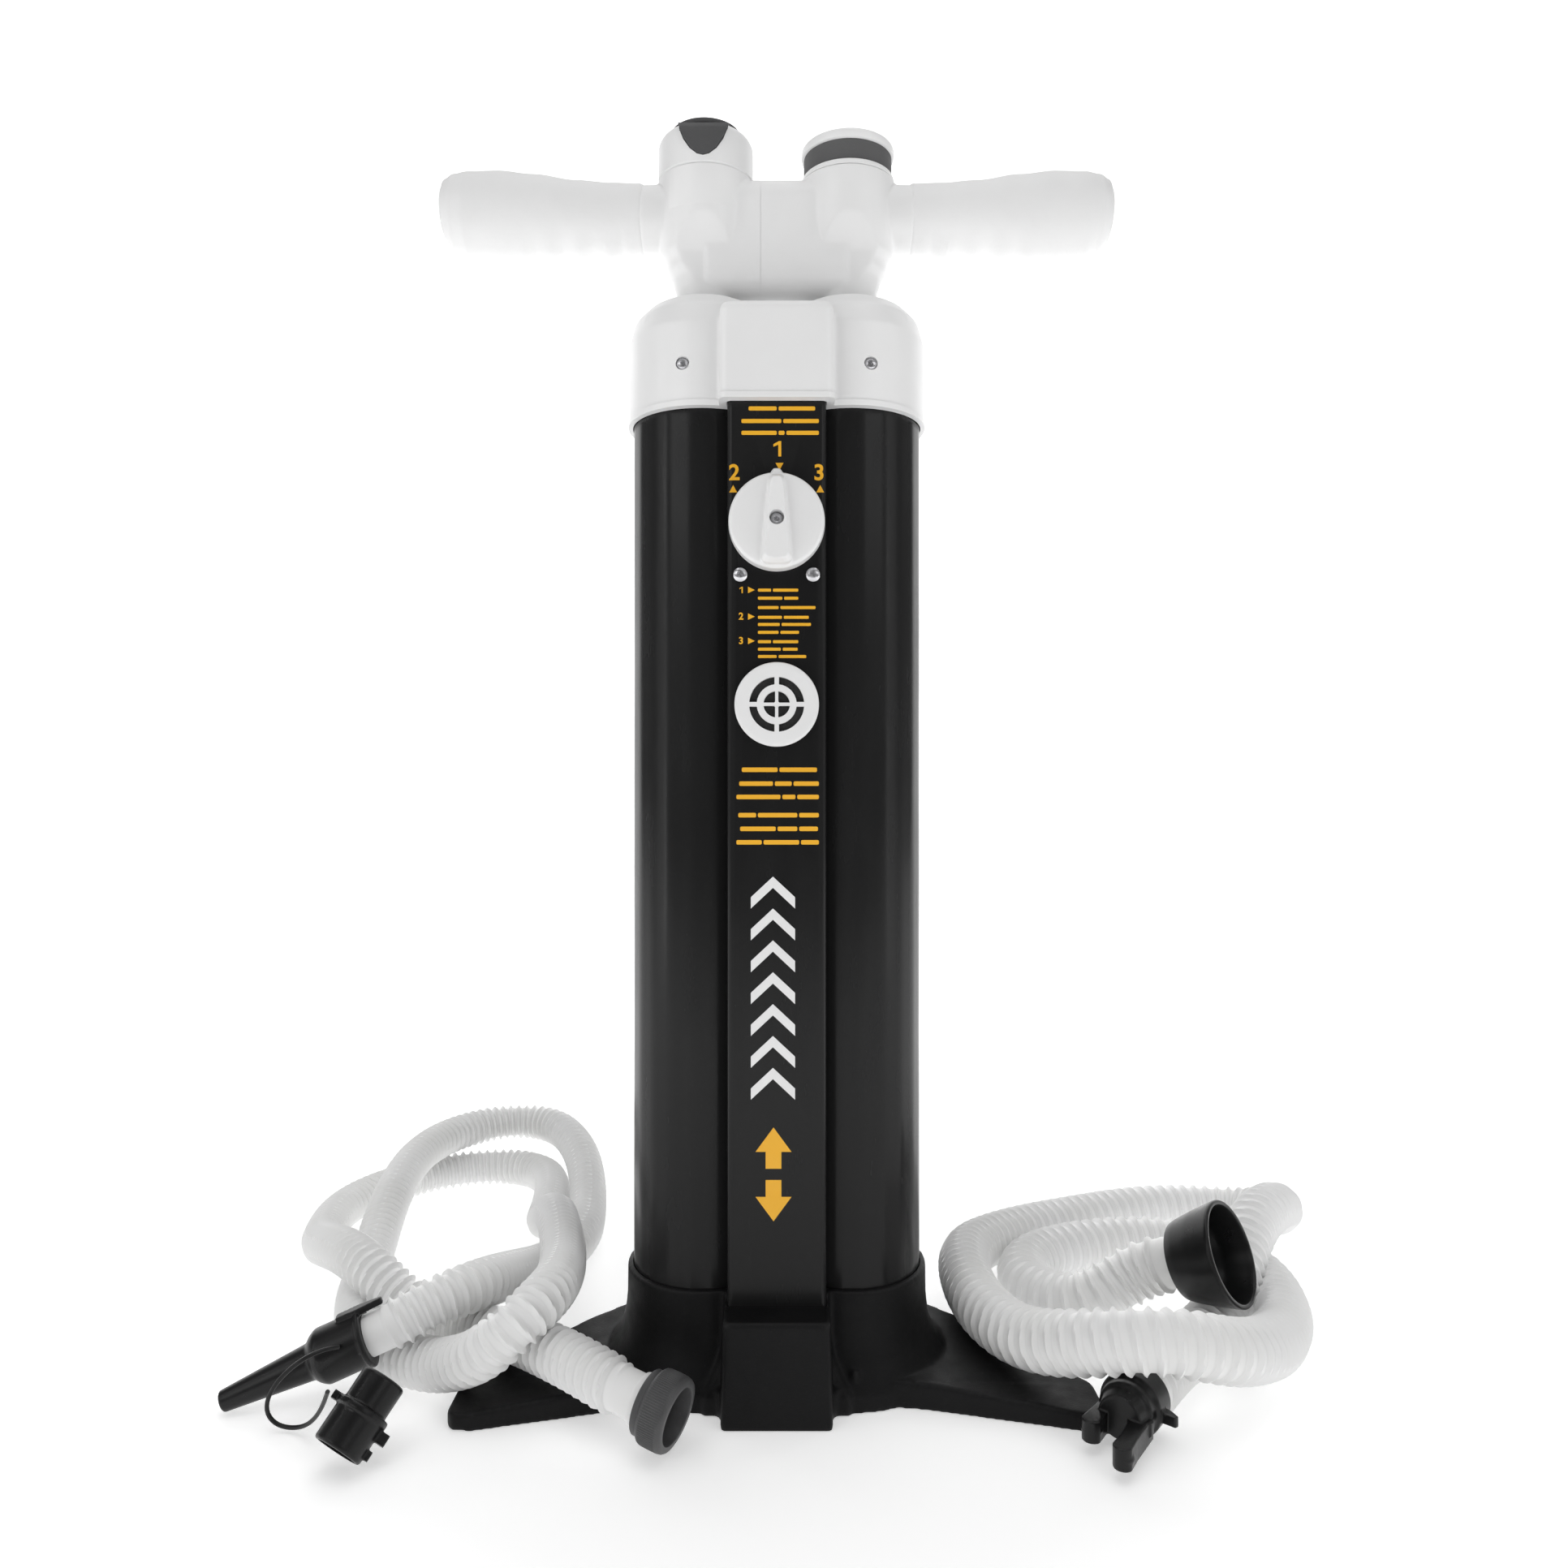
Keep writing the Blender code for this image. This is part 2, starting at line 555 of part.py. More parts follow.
def make_handle(mat):
    """One moulding: two hubs on the rods, the bar between them, and a neck and a core for each grip."""
    hub = (
        (HANDLE_Z, 0.0160),
        (0.6160, 0.0166),
        (0.6230, 0.0186),
        (0.6310, 0.0222),
        (0.6400, 0.0258),
        (0.6500, 0.0272),
        (0.6620, HUB_R),
        (HUB_TOP_Z, HUB_R),
    )
    parts = []
    for side in (-1, 1):
        rings = [flat_ring(ellipse(r, r, LARGE_SIDES, (side * HUB_X, 0.0)), z) for z, r in hub]
        parts.append(add_object("handle", loft(rings), mat))
    bar = []
    for x in (-0.0400, 0.0400):
        outline = rounded_box(0.0205, 0.0332, 0.0140, 4, (0.0, 0.6470))
        bar.append([(x, y, z) for y, z in outline])
    parts.append(add_object("bar", loft(bar), mat))
    for side in (-1, 1):
        neck = []
        for x in (0.0500, GRIP_START_X - GAP):
            neck.append([(side * x, y, z) for y, z in ellipse(0.0178, 0.0190, SIDES, (0.0, 0.6616))])
        parts.append(add_object("neck", loft(neck), mat))
        core = rod(0.0110, 0.0500, 0.1800, (0.0, 0.0, 0.6622), (side, 0, 0), SMALL_SIDES)
        parts.append(add_object("core", core, mat))
    handle = combine(parts[0], parts[1:], "UNION")
    tools = []
    for side in (-1, 1):
        tools.append(add_object("bore", rod(ROD_R + GAP, 0.5900, 0.6562, (side * BARREL_X, 0, 0), UP), mat))
    collar = rod(0.0185, 0.6560, 0.6900, (-HUB_X, 0, 0), UP)
    tools.append(add_object("well", collar, mat))
    handle = combine(handle, tools, "DIFFERENCE")
    handle.name = "handle"
    return handle


def make_grip(name, side, mat):
    """A hand grip: an oval sleeve that swells towards its outer end, with a blind hole for the core."""
    sections = (
        (GRIP_START_X, 0.6430, 0.6815, 0.0178),
        (0.0950, 0.6412, 0.6820, 0.0182),
        (0.1150, 0.6402, 0.6835, 0.0188),
        (0.1400, 0.6396, 0.6870, 0.0194),
        (0.1600, 0.6398, 0.6890, 0.0196),
        (0.1780, 0.6408, 0.6886, 0.0194),
        (0.1860, 0.6425, 0.6872, 0.0184),
        (0.1910, 0.6465, 0.6845, 0.0162),
        (GRIP_END_X, 0.6520, 0.6805, 0.0130),
    )
    rings = []
    for x, low, high, half in sections:
        outline = ellipse(half, (high - low) / 2, SIDES, (0.0, (high + low) / 2))
        rings.append([(side * x, y, z) for y, z in outline])
    grip = add_object(name, loft(rings), mat)
    bore = rod(0.0113, 0.0600, 0.1803, (0.0, 0.0, 0.6622), (side, 0, 0), SMALL_SIDES)
    return combine(grip, [add_object("bore", bore, mat)], "DIFFERENCE")


def make_rod(name, side, mat):
    tube = pipe(ROD_R - 0.0020, ROD_R, 0.0310, 0.6555, (side * BARREL_X, 0, 0), UP)
    return add_object(name, tube, mat, (side * BARREL_X, 0.0, 0.0310))


def make_piston(name, side, mat):
    """A turned disc with a groove round it for the seal."""
    inner = ROD_R + GAP
    rim = BORE_R - 0.0005
    groove = BORE_R - 0.0045
    profile = [(inner, 0.0400), (rim, 0.0400), (rim, 0.0465), (groove, 0.0465)]
    profile += [(groove, 0.0535), (rim, 0.0535), (rim, 0.0600), (inner, 0.0600)]
    return add_object(name, turned(profile, (side * BARREL_X, 0, 0), UP, LARGE_SIDES, closed=True), mat)


def make_piston_seal(name, side, mat):
    outer = BORE_R - 0.0002
    inner = BORE_R - 0.0045 + GAP
    profile = [(inner, 0.0468), (outer - 0.0008, 0.0468), (outer, 0.0485), (outer, 0.0515)]
    profile += [(outer - 0.0008, 0.0532), (inner, 0.0532)]
    return add_object(name, turned(profile, (side * BARREL_X, 0, 0), UP, LARGE_SIDES, closed=True), mat)


def make_rod_nut(name, side, mat):
    """A hexagon nut under the piston."""
    outline = ellipse(0.0130, 0.0130, 6, (side * BARREL_X, 0.0))
    nut = add_object(name, prism(outline, 0.0318, 0.0397), mat)
    bore = rod(ROD_R + GAP, 0.02, 0.05, (side * BARREL_X, 0, 0), UP)
    return combine(nut, [add_object("bore", bore, mat)], "DIFFERENCE")


def notch_outline(inset):
    """The shield-shaped notch at the front of the port, seen from the front, in x and z."""
    top = (0.0146, PORT_TOP_Z + 0.003)
    right = [top, (0.0136, 0.7020), (0.0112, 0.6955), (0.0076, 0.6898), (0.0034, 0.6862)]
    points = right + [(0.0, 0.6853)] + [(-x, z) for x, z in reversed(right)]
    if inset == 0:
        return points
    return [(x - math.copysign(inset, x) if x else 0.0, z + inset * 1.2) for x, z in points]


def make_port_collar(mat):
    """Round tower on the left hub that the hose locks into, with a notch at its front."""
    low = 0.6565
    z0 = HUB_TOP_Z + GAP
    profile = [(0.0148, low), (0.0181, low), (0.0181, z0), (HUB_R, z0)]
    profile += arc(HUB_R - 0.0080, PORT_TOP_Z - 0.0080, 0.0080, 0, 90, 5)
    profile += [(0.0148, PORT_TOP_Z)]
    collar = add_object("port_collar", turned(profile, (-HUB_X, 0, 0), UP, LARGE_SIDES, closed=True), mat)
    rings = [[(-HUB_X + x, y, z) for x, z in notch_outline(0.0)] for y in (-0.0400, -0.0100)]
    return combine(collar, [add_object("notch", loft(rings), mat)], "DIFFERENCE")


def make_port_plug(mat):
    """Rubber plug that lifts out of the port, with a flange on top and a tab that fills the notch."""
    profile = [
        (0.0, 0.6860),
        (0.0138, 0.6860),
        (0.0144, 0.6875),
        (0.0144, PORT_TOP_Z + GAP),
        (0.0204, PORT_TOP_Z + GAP),
        (0.0204, 0.7100),
        (0.0192, 0.7112),
        (0.0, 0.7116),
    ]
    plug = add_object("port_plug", turned(profile, (-HUB_X, 0, 0), UP, LARGE_SIDES), mat)
    rings = []
    tops = ((-0.0271, 0.0105), (-0.0245, 0.0045), (-0.0190, 0.0010), (-0.0110, 0.0004))
    for y, drop in tops:
        outline = [(x, z - drop if z > PORT_TOP_Z else z) for x, z in notch_outline(0.0004)]
        rings.append([(-HUB_X + x, y, z) for x, z in outline])
    return combine(plug, [add_object("tab", loft(rings), mat)], "UNION")


def make_gauge(white, dark, clear):
    """Pressure gauge on the right hub: a cup, its face, a needle, a lens and a bezel."""
    centre = (HUB_X, 0.0, 0.0)
    low = HUB_TOP_Z + GAP
    seat = [(0.0, low), (0.0266, low), (0.0262, 0.6845), (0.0, 0.6845)]
    add_object("gauge_seat", turned(seat, centre, UP, LARGE_SIDES), white)
    cup = [
        (0.0, 0.6848),
        (0.0254, 0.6848),
        (0.0254, 0.6958),
        (0.0215, 0.6958),
        (0.0215, 0.6880),
        (0.0, 0.6880),
    ]
    add_object("gauge_cup", turned(cup, centre, UP, LARGE_SIDES), dark)
    face = rod(0.0211, 0.6883, 0.6893, centre, UP, LARGE_SIDES)
    add_object("gauge_face", face, white)
    bezel = [(0.0200, 0.6961), (0.0262, 0.6961), (0.0268, 0.6970)]
    bezel += arc(0.0243, 0.6995, 0.0025, 0, 90, 3)
    bezel += [(0.0206, 0.7020), (0.0206, 0.6976), (0.0200, 0.6976)]
    add_object("gauge_bezel", turned(bezel, centre, UP, LARGE_SIDES, closed=True), white)
    add_object("gauge_lens", rod(0.0203, 0.6979, 0.6994, centre, UP, LARGE_SIDES), clear)
    needle = add_object("gauge_needle", rod(0.0022, 0.6896, 0.6912, centre, UP, SMALL_SIDES), dark)
    blade = prism([(-0.0160, -0.0001), (0.0040, -0.0009), (0.0040, 0.0009), (-0.0160, 0.0001)], 0.6900, 0.6907)
    blade.transform(Matrix.Translation(centre) @ Matrix.Rotation(math.radians(45), 4, "Z"))
    combine(needle, [add_object("blade", blade, dark)], "UNION")
    needle.data.transform(Matrix.Translation((-HUB_X, 0.0, 0.0)))
    needle.location = centre

# Hoses and what is on them


def hose_curve(route, spacing):
    """Points about one spacing apart on a smooth curve, a cubic B-spline, and closer at its two ends."""
    points = [Vector(p) for p in route]
    points.insert(0, points[0] * 2 - points[1])
    points.append(points[-1] * 2 - points[-2])
    steps = 16
    curve = []
    for a, b, c, d in zip(points, points[1:], points[2:], points[3:]):
        for i in range(steps):
            t = i / steps
            s = 1 - t
            curve.append((a * s**3 + b * (3 * t**3 - 6 * t**2 + 4) + c * (3 * s**3 - 6 * s**2 + 4) + d * t**3) / 6)
    curve.append(points[-2])
    lengths = [0.0]
    for p, q in zip(curve, curve[1:]):
        lengths.append(lengths[-1] + (q - p).length)
    lead = min(0.005, spacing / 2)
    middle = lengths[-1] - 2 * lead
    count = round(middle / spacing)
    even = [curve[0]]
    at = 0
    for i in range(count + 1):
        goal = lead + middle * i / count
        while lengths[at + 1] < goal:
            at += 1
        share = (goal - lengths[at]) / (lengths[at + 1] - lengths[at])
        even.append(curve[at].lerp(curve[at + 1], share))
    even.append(curve[-1])
    return even


def make_hose(name, route, radius, spacing, mat):
    """A plain round tube along the route, closed at its ends."""
    points = hose_curve(route, spacing)
    data = bpy.data.curves.new(name, "CURVE")
    data.dimensions = "3D"
    data.bevel_depth = radius
    data.bevel_resolution = 2
    data.use_fill_caps = True
    spline = data.splines.new("POLY")
    spline.points.add(len(points) - 1)
    for point, place in zip(spline.points, points):
        point.co = (*place, 1.0)
    data.materials.append(mat)
    obj = bpy.data.objects.new(name, data)
    bpy.context.scene.collection.objects.link(obj)
    return obj


def end_of(route, first):
    """Where a hose ends, and the way that end points, out of the hose."""
    end, before = (route[0], route[1]) if first else (route[-1], route[-2])
    return Vector(end), (Vector(end) - Vector(before)).normalized()


def box_on(frame, along, across, up, mat):
    """A small block on a fitting, given as ranges along its axis, across it and upwards."""
    outline = [(along[0], across[0]), (along[1], across[0]), (along[1], across[1]), (along[0], across[1])]
    block = prism(outline, *up)
    block.transform(frame)
    return add_object("block", block, mat)


def fitting_frame(end, way):
    """A frame at end with its X axis along way, and its Y axis level and to the left of that."""
    side = UP.cross(way).normalized()
    frame = Matrix((way, side, way.cross(side))).transposed().to_4x4()
    frame.translation = end
    return frame


def make_small_hose_cuff(mat):
    end, way = end_of(SMALL_HOSE_ROUTE, first=True)
    profile = [(0.0, GAP), (0.0128, GAP), (0.0128, 0.0040), (0.0090, 0.0040), (0.0090, 0.0140), (0.0, 0.0140)]
    return add_object("small_hose_cuff", turned(profile, end, way), mat)


def make_small_hose_nut(mat):
    """Turns freely on the cuff. Its outer end is hollow, to screw onto the pump or a pad."""
    end, way = end_of(SMALL_HOSE_ROUTE, first=True)
    profile = [
        (0.0093, 0.0043),
        (0.0158, 0.0043),
        (0.0158, 0.0078),
        (0.0184, 0.0094),
        (0.0188, 0.0120),
        (0.0186, 0.0216),
        (0.0176, 0.0228),
        (0.0140, 0.0228),
        (0.0140, 0.0120),
        (0.0093, 0.0120),
    ]
    return add_object("small_hose_nut", turned(profile, end, way, closed=True), mat, end)


def make_nozzle_adapter(mat):
    """A cup on the hose's end that narrows to a long tapered nozzle, with a lug along the hose's top."""
    end, _ = end_of(SMALL_HOSE_ROUTE, first=False)
    way = (Vector(NOZZLE_TIP) - end).normalized()
    reach = (Vector(NOZZLE_TIP) - end).length
    profile = [
        (0.0, 0.0006),
        (0.0143, 0.0006),
        (0.0148, 0.0040),
        (0.0148, 0.0250),
        (0.0120, 0.0290),
        (0.0096, 0.0310),
        (0.0058, reach),
        (0.0, reach),
    ]
    adapter = add_object("nozzle_adapter", turned(profile, end, way), mat)
    frame = fitting_frame(end, way)
    lug = box_on(frame, (-0.0110, 0.0100), (-0.0030, 0.0030), (0.0140, 0.0172), mat)
    combine(adapter, [lug], "UNION")
    bore = rod(0.0032, -0.010, 0.002, NOZZLE_TIP, way, SMALL_SIDES)
    return combine(adapter, [add_object("bore", bore, mat)], "DIFFERENCE")


def make_valve_adapter(mat):
    """A spare adapter beside the hose's end: two barrels in line, a bore, two lugs and the tether's tab."""
    start = Vector(VALVE_ADAPTER_REAR)
    way = Vector(VALVE_ADAPTER_WAY).normalized()
    profile = [(0.0, 0.0), (0.0108, 0.0), (0.0116, 0.0010), (0.0116, 0.0155), (0.0140, 0.0160), (0.0140, 0.0190)]
    profile += [(0.0130, 0.0196), (0.0130, 0.0365), (0.0095, 0.0365), (0.0095, 0.0180), (0.0, 0.0180)]
    adapter = add_object("valve_adapter", turned(profile, start, way), mat)
    frame = fitting_frame(start, way) @ Matrix.Rotation(math.radians(-45.0), 4, "X")
    blocks = [
        box_on(frame, (0.0195, 0.0250), (0.0110, 0.0182), (-0.0030, 0.0030), mat),
        box_on(frame, (0.0290, 0.0335), (0.0110, 0.0154), (-0.0030, 0.0030), mat),
        box_on(frame, (0.0155, 0.0195), (-0.0168, -0.0120), (-0.0030, 0.0030), mat),
    ]
    return combine(adapter, blocks, "UNION")


def make_large_hose_collar(mat):
    """A cup that widens from the hose to its rim and locks over the pump's port."""
    end, way = end_of(LARGE_HOSE_ROUTE, first=True)
    profile = [
        (0.0, 0.0008),
        (0.0185, 0.0008),
        (0.0208, 0.0022),
        (0.0232, 0.0070),
        (0.0262, 0.0165),
        (0.0286, 0.0270),
        (0.0292, 0.0310),
        (0.0286, 0.0330),
        (0.0268, 0.0330),
        (0.0258, 0.0270),
        (0.0232, 0.0165),
        (0.0205, 0.0110),
        (0.0, 0.0110),
    ]
    return add_object("large_hose_collar", turned(profile, end, way), mat)


def make_bayonet_adapter(mat):
    """The fitting on the large hose's other end, with a body, two prongs, a tab and a rib."""
    end, way = end_of(LARGE_HOSE_ROUTE, first=False)
    profile = [
        (0.0, 0.0008),
        (0.0150, 0.0008),
        (0.0154, 0.0020),
        (0.0154, 0.0145),
        (0.0142, 0.0160),
        (0.0142, 0.0215),
        (0.0124, 0.0230),
        (0.0110, 0.0300),
        (0.0, 0.0300),
    ]
    adapter = add_object("bayonet_adapter", turned(profile, end, way), mat)
    frame = fitting_frame(end, way)
    prongs = []
    for side, tip in ((1, 0.0575), (-1, 0.0440)):
        outline = [(0.0200, 0.0030), (tip - 0.016, 0.0058)] + arc(tip - 0.0048, 0.0106, 0.0048, -70, 70, 4)
        outline += [(tip - 0.016, 0.0142), (0.0200, 0.0135)]
        prong = prism([(x, side * y) for x, y in outline], -0.0100, 0.0010)
        prong.transform(frame)
        prongs.append(add_object("prong", prong, mat))
    blocks = [
        box_on(frame, (0.0090, 0.0140), (0.0120, 0.0236), (-0.0040, 0.0020), mat),
        box_on(frame, (0.0230, 0.0270), (0.0080, 0.0152), (-0.0060, 0.0010), mat),
    ]
    return combine(adapter, prongs + blocks, "UNION")


def main():
    clear_scene()
    black_matt = plastic("black_matt", (0.022, 0.022, 0.023), 0.62)
    black_gloss = plastic("black_gloss", (0.012, 0.012, 0.013), 0.28)
    white = plastic("white_plastic", (0.86, 0.86, 0.85), 0.38)
    rubber = plastic("grey_rubber", (0.060, 0.060, 0.062), 0.80)
    inner_grey = plastic("inner_grey", (0.30, 0.30, 0.31), 0.50)
    steel = plastic("steel", (0.62, 0.62, 0.64), 0.30, 1.0)
    foam = plastic("foam", (0.025, 0.025, 0.025), 0.95)
    lens = plastic("clear_lens", (0.80, 0.84, 0.86), 0.08)
    hose_white = plastic("hose_white", (0.82, 0.82, 0.81), 0.45)
    nut_grey = plastic("nut_grey", (0.080, 0.080, 0.082), 0.55)

    make_base(black_matt)
    make_casing(black_gloss)
    make_valve_plate(inner_grey)
    make_cylinder_head(inner_grey)
    make_cap(white)
    for word, side in (("left", -1), ("right", 1)):
        make_cylinder(f"cylinder_{word}", side, inner_grey)
        make_valve_disc(f"foot_valve_{word}", side, rubber)
        make_rod_guide(f"rod_guide_{word}", side, inner_grey)
        make_wiper(f"rod_wiper_{word}", side, rubber)
        tip = (side * 0.051, -0.0345, CAP_SCREW_Z)
        make_screw(f"cap_screw_front_{word}", 0.0034, 0.0014, 0.0106, tip, FRONT, steel)
        tip = (side * 0.051, 0.0345, CAP_SCREW_Z)
        make_screw(f"cap_screw_rear_{word}", 0.0034, 0.0014, 0.0106, tip, -FRONT, steel)
        tip = (side * 0.0194, -0.0475, PANEL_SCREW_Z)
        make_screw(f"panel_screw_{word}", 0.0039, 0.0014, PANEL_Y - 0.0475 + GAP, tip, FRONT, steel)
        make_rod(f"piston_rod_{word}", side, steel)
        make_piston(f"piston_{word}", side, inner_grey)
        make_piston_seal(f"piston_seal_{word}", side, rubber)
        make_rod_nut(f"rod_nut_{word}", side, steel)
        make_grip(f"grip_{word}", side, white)
    make_dial(white)
    make_selector_spindle(inner_grey)
    make_screw("dial_screw", 0.0035, 0.0014, 0.0010, (0.0, -0.0670, DIAL_Z), FRONT, steel)
    make_selector_block(inner_grey)
    make_vent_grille(white)
    make_vent_filter(foam)
    make_handle(white)
    make_port_collar(white)
    make_port_plug(rubber)
    make_gauge(white, rubber, lens)
    make_hose("small_hose_tube", SMALL_HOSE_ROUTE, SMALL_HOSE_R, SMALL_HOSE_SPACING, hose_white)
    make_small_hose_cuff(hose_white)
    make_small_hose_nut(nut_grey)
    make_nozzle_adapter(black_matt)
    make_valve_adapter(black_matt)
    make_hose("tether", TETHER_ROUTE, TETHER_R, TETHER_SPACING, black_matt)
    make_hose("large_hose_tube", LARGE_HOSE_ROUTE, LARGE_HOSE_R, LARGE_HOSE_SPACING, hose_white)
    make_large_hose_collar(black_matt)
    make_bayonet_adapter(black_matt)


main()
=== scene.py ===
"""The double action hand pump as it looks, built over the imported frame.

Metres, +Z up. The origin is the middle of the underside of the base, and the front faces -Y.
"""

import math

import bmesh
import bpy
from mathutils import Matrix, Vector


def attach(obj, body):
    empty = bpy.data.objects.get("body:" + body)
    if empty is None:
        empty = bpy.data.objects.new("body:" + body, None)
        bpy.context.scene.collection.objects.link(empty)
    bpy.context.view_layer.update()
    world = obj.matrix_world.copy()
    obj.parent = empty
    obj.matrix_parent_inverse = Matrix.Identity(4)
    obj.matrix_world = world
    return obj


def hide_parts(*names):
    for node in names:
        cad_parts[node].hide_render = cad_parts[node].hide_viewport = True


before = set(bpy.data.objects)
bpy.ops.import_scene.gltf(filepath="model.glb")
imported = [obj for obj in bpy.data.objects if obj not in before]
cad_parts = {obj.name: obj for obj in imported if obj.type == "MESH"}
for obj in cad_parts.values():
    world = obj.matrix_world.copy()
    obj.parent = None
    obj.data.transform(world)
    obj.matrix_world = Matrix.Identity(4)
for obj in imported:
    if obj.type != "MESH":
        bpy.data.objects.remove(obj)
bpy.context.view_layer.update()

UP = Vector((0.0, 0.0, 1.0))
FRONT = Vector((0.0, -1.0, 0.0))

# The pump's own sizes, as in the part
BARREL_X = 0.04125
LOBE_A = 0.0415
LOBE_B = 0.044
PANEL_X = 0.0265
PANEL_Y = 0.056
SOCKET_FLOOR_Z = 0.012
COLLAR_TOP_Z = 0.0595
FOOT_TOP_Z = 0.0555
VENT_Z = 0.3767
PANEL_SCREW_Z = 0.446
DIAL_Z = 0.473
CAP_Z = 0.5385
CASING_TOP_Z = 0.557
CAP_SCREW_Z = 0.562
CAP_TOP_Z = 0.608
HANDLE_Z = 0.609
HUB_TOP_Z = 0.681
PORT_TOP_Z = 0.7075
FOOT_X = 0.029
FOOT_Y = 0.076
ROD_R = 0.008
WALL = 0.0022
PANEL_SCREW_X = 0.0194
CAP_SCREW_X = 0.051
DIAL_R = 0.0257
DIAL_BACK_Y = -0.0563
VENT_R = 0.02245
HUB_X = 0.0412
HUB_R = 0.0275
GRIP_START_X = 0.0785
GRIP_END_X = 0.193
GRIP_AXIS_Z = 0.6622

# Hoses. A route is the centre line, from the end that fits the pump to the end that fits what it fills.
SMALL_HOSE_R = 0.01325
LARGE_HOSE_R = 0.016
TETHER_R = 0.00115
NUT_RIDGE = 0.00035
NUT_RIDGES = 96
SMALL_HOSE_ROUTE = (
    (-0.0695, -0.089, 0.0246), (-0.086, -0.0815, 0.0284), (-0.104, -0.066, 0.03),
    (-0.125, -0.047, 0.029), (-0.145, -0.028, 0.027), (-0.165, -0.009, 0.0205), (-0.186, 0.001, 0.016),
    (-0.207, 0.009, 0.019), (-0.228, 0.016, 0.031), (-0.25, 0.03, 0.043), (-0.275, 0.06, 0.04),
    (-0.301, 0.098, 0.027), (-0.319, 0.138, 0.0145), (-0.328, 0.18, 0.0135), (-0.325, 0.218, 0.0135),
    (-0.305, 0.256, 0.0135), (-0.276, 0.282, 0.0135), (-0.242, 0.296, 0.0135), (-0.21, 0.294, 0.0135),
    (-0.185, 0.272, 0.0135), (-0.174, 0.232, 0.0135), (-0.171, 0.19, 0.0135), (-0.166, 0.158, 0.02),
    (-0.158, 0.132, 0.0345), (-0.148, 0.105, 0.0455), (-0.137, 0.068, 0.044), (-0.129, 0.028, 0.045),
    (-0.124, -0.012, 0.052), (-0.123, -0.042, 0.0575), (-0.134, -0.066, 0.053),
    (-0.152, -0.068, 0.037), (-0.168, -0.054, 0.025), (-0.186, -0.04, 0.016),
    (-0.205, -0.028, 0.0135), (-0.228, -0.014, 0.0135), (-0.246, 0.01, 0.0135), (-0.258, 0.038, 0.0135),
    (-0.266, 0.072, 0.0135), (-0.272, 0.108, 0.017), (-0.278, 0.145, 0.026), (-0.282, 0.185, 0.035),
    (-0.284, 0.234, 0.041), (-0.275, 0.282, 0.042), (-0.248, 0.316, 0.043), (-0.213, 0.327, 0.043),
    (-0.181, 0.312, 0.041), (-0.158, 0.27, 0.033), (-0.146, 0.226, 0.023), (-0.14, 0.185, 0.014),
    (-0.137, 0.148, 0.0135), (-0.144, 0.116, 0.0135), (-0.156, 0.088, 0.016), (-0.162, 0.055, 0.027),
    (-0.164, 0.02, 0.039), (-0.169, -0.009, 0.048), (-0.183, -0.025, 0.048), (-0.197, -0.033, 0.044),
    (-0.209, -0.0404, 0.0389), (-0.222, -0.043, 0.034),
)
LARGE_HOSE_ROUTE = (
    (0.238, 0.0115, 0.0518), (0.2245, 0.0221, 0.0449), (0.211, 0.0265, 0.0355), (0.196, 0.025, 0.0262),
    (0.181, 0.029, 0.019), (0.167, 0.043, 0.0162), (0.157, 0.062, 0.0162), (0.16, 0.086, 0.0162),
    (0.175, 0.107, 0.0162), (0.2, 0.12, 0.0162), (0.228, 0.129, 0.0162), (0.258, 0.132, 0.0162),
    (0.287, 0.124, 0.0162), (0.306, 0.102, 0.0162), (0.313, 0.07, 0.0162), (0.309, 0.036, 0.0162),
    (0.297, 0.004, 0.017), (0.279, -0.026, 0.022), (0.26, -0.053, 0.031), (0.237, -0.077, 0.041),
    (0.212, -0.088, 0.051), (0.185, -0.088, 0.0534), (0.158, -0.072, 0.0435), (0.136, -0.042, 0.03),
    (0.122, -0.008, 0.028), (0.117, 0.026, 0.028), (0.118, 0.058, 0.027), (0.1245, 0.0925, 0.025),
    (0.1465, 0.1235, 0.021), (0.1795, 0.151, 0.018), (0.212, 0.168, 0.0165), (0.246, 0.184, 0.0162),
    (0.282, 0.194, 0.0162), (0.318, 0.194, 0.0162), (0.346, 0.182, 0.018), (0.356, 0.156, 0.027),
    (0.347, 0.126, 0.042), (0.328, 0.1, 0.051), (0.306, 0.076, 0.049), (0.286, 0.048, 0.033),
    (0.267, 0.02, 0.0175), (0.248, -0.003, 0.0162), (0.2325, -0.019, 0.0162), (0.217, -0.035, 0.0162),
    (0.203, -0.052, 0.0162), (0.19, -0.069, 0.0162),
)
TETHER_ROUTE = (
    (-0.232, -0.0602, 0.0362), (-0.239, -0.068, 0.0385), (-0.25, -0.0735, 0.034),
    (-0.261, -0.0755, 0.023), (-0.265, -0.0755, 0.011), (-0.259, -0.0755, 0.003),
    (-0.248, -0.077, 0.0022), (-0.238, -0.082, 0.0075), (-0.229, -0.0905, 0.02),
    (-0.2225, -0.1, 0.0335),
)
NOZZLE_TIP = Vector((-0.295, -0.058, 0.006))
VALVE_ADAPTER_REAR = Vector((-0.1975, -0.09, 0.0352))
VALVE_ADAPTER_WAY = Vector((-0.44, -0.61, -0.66)).normalized()

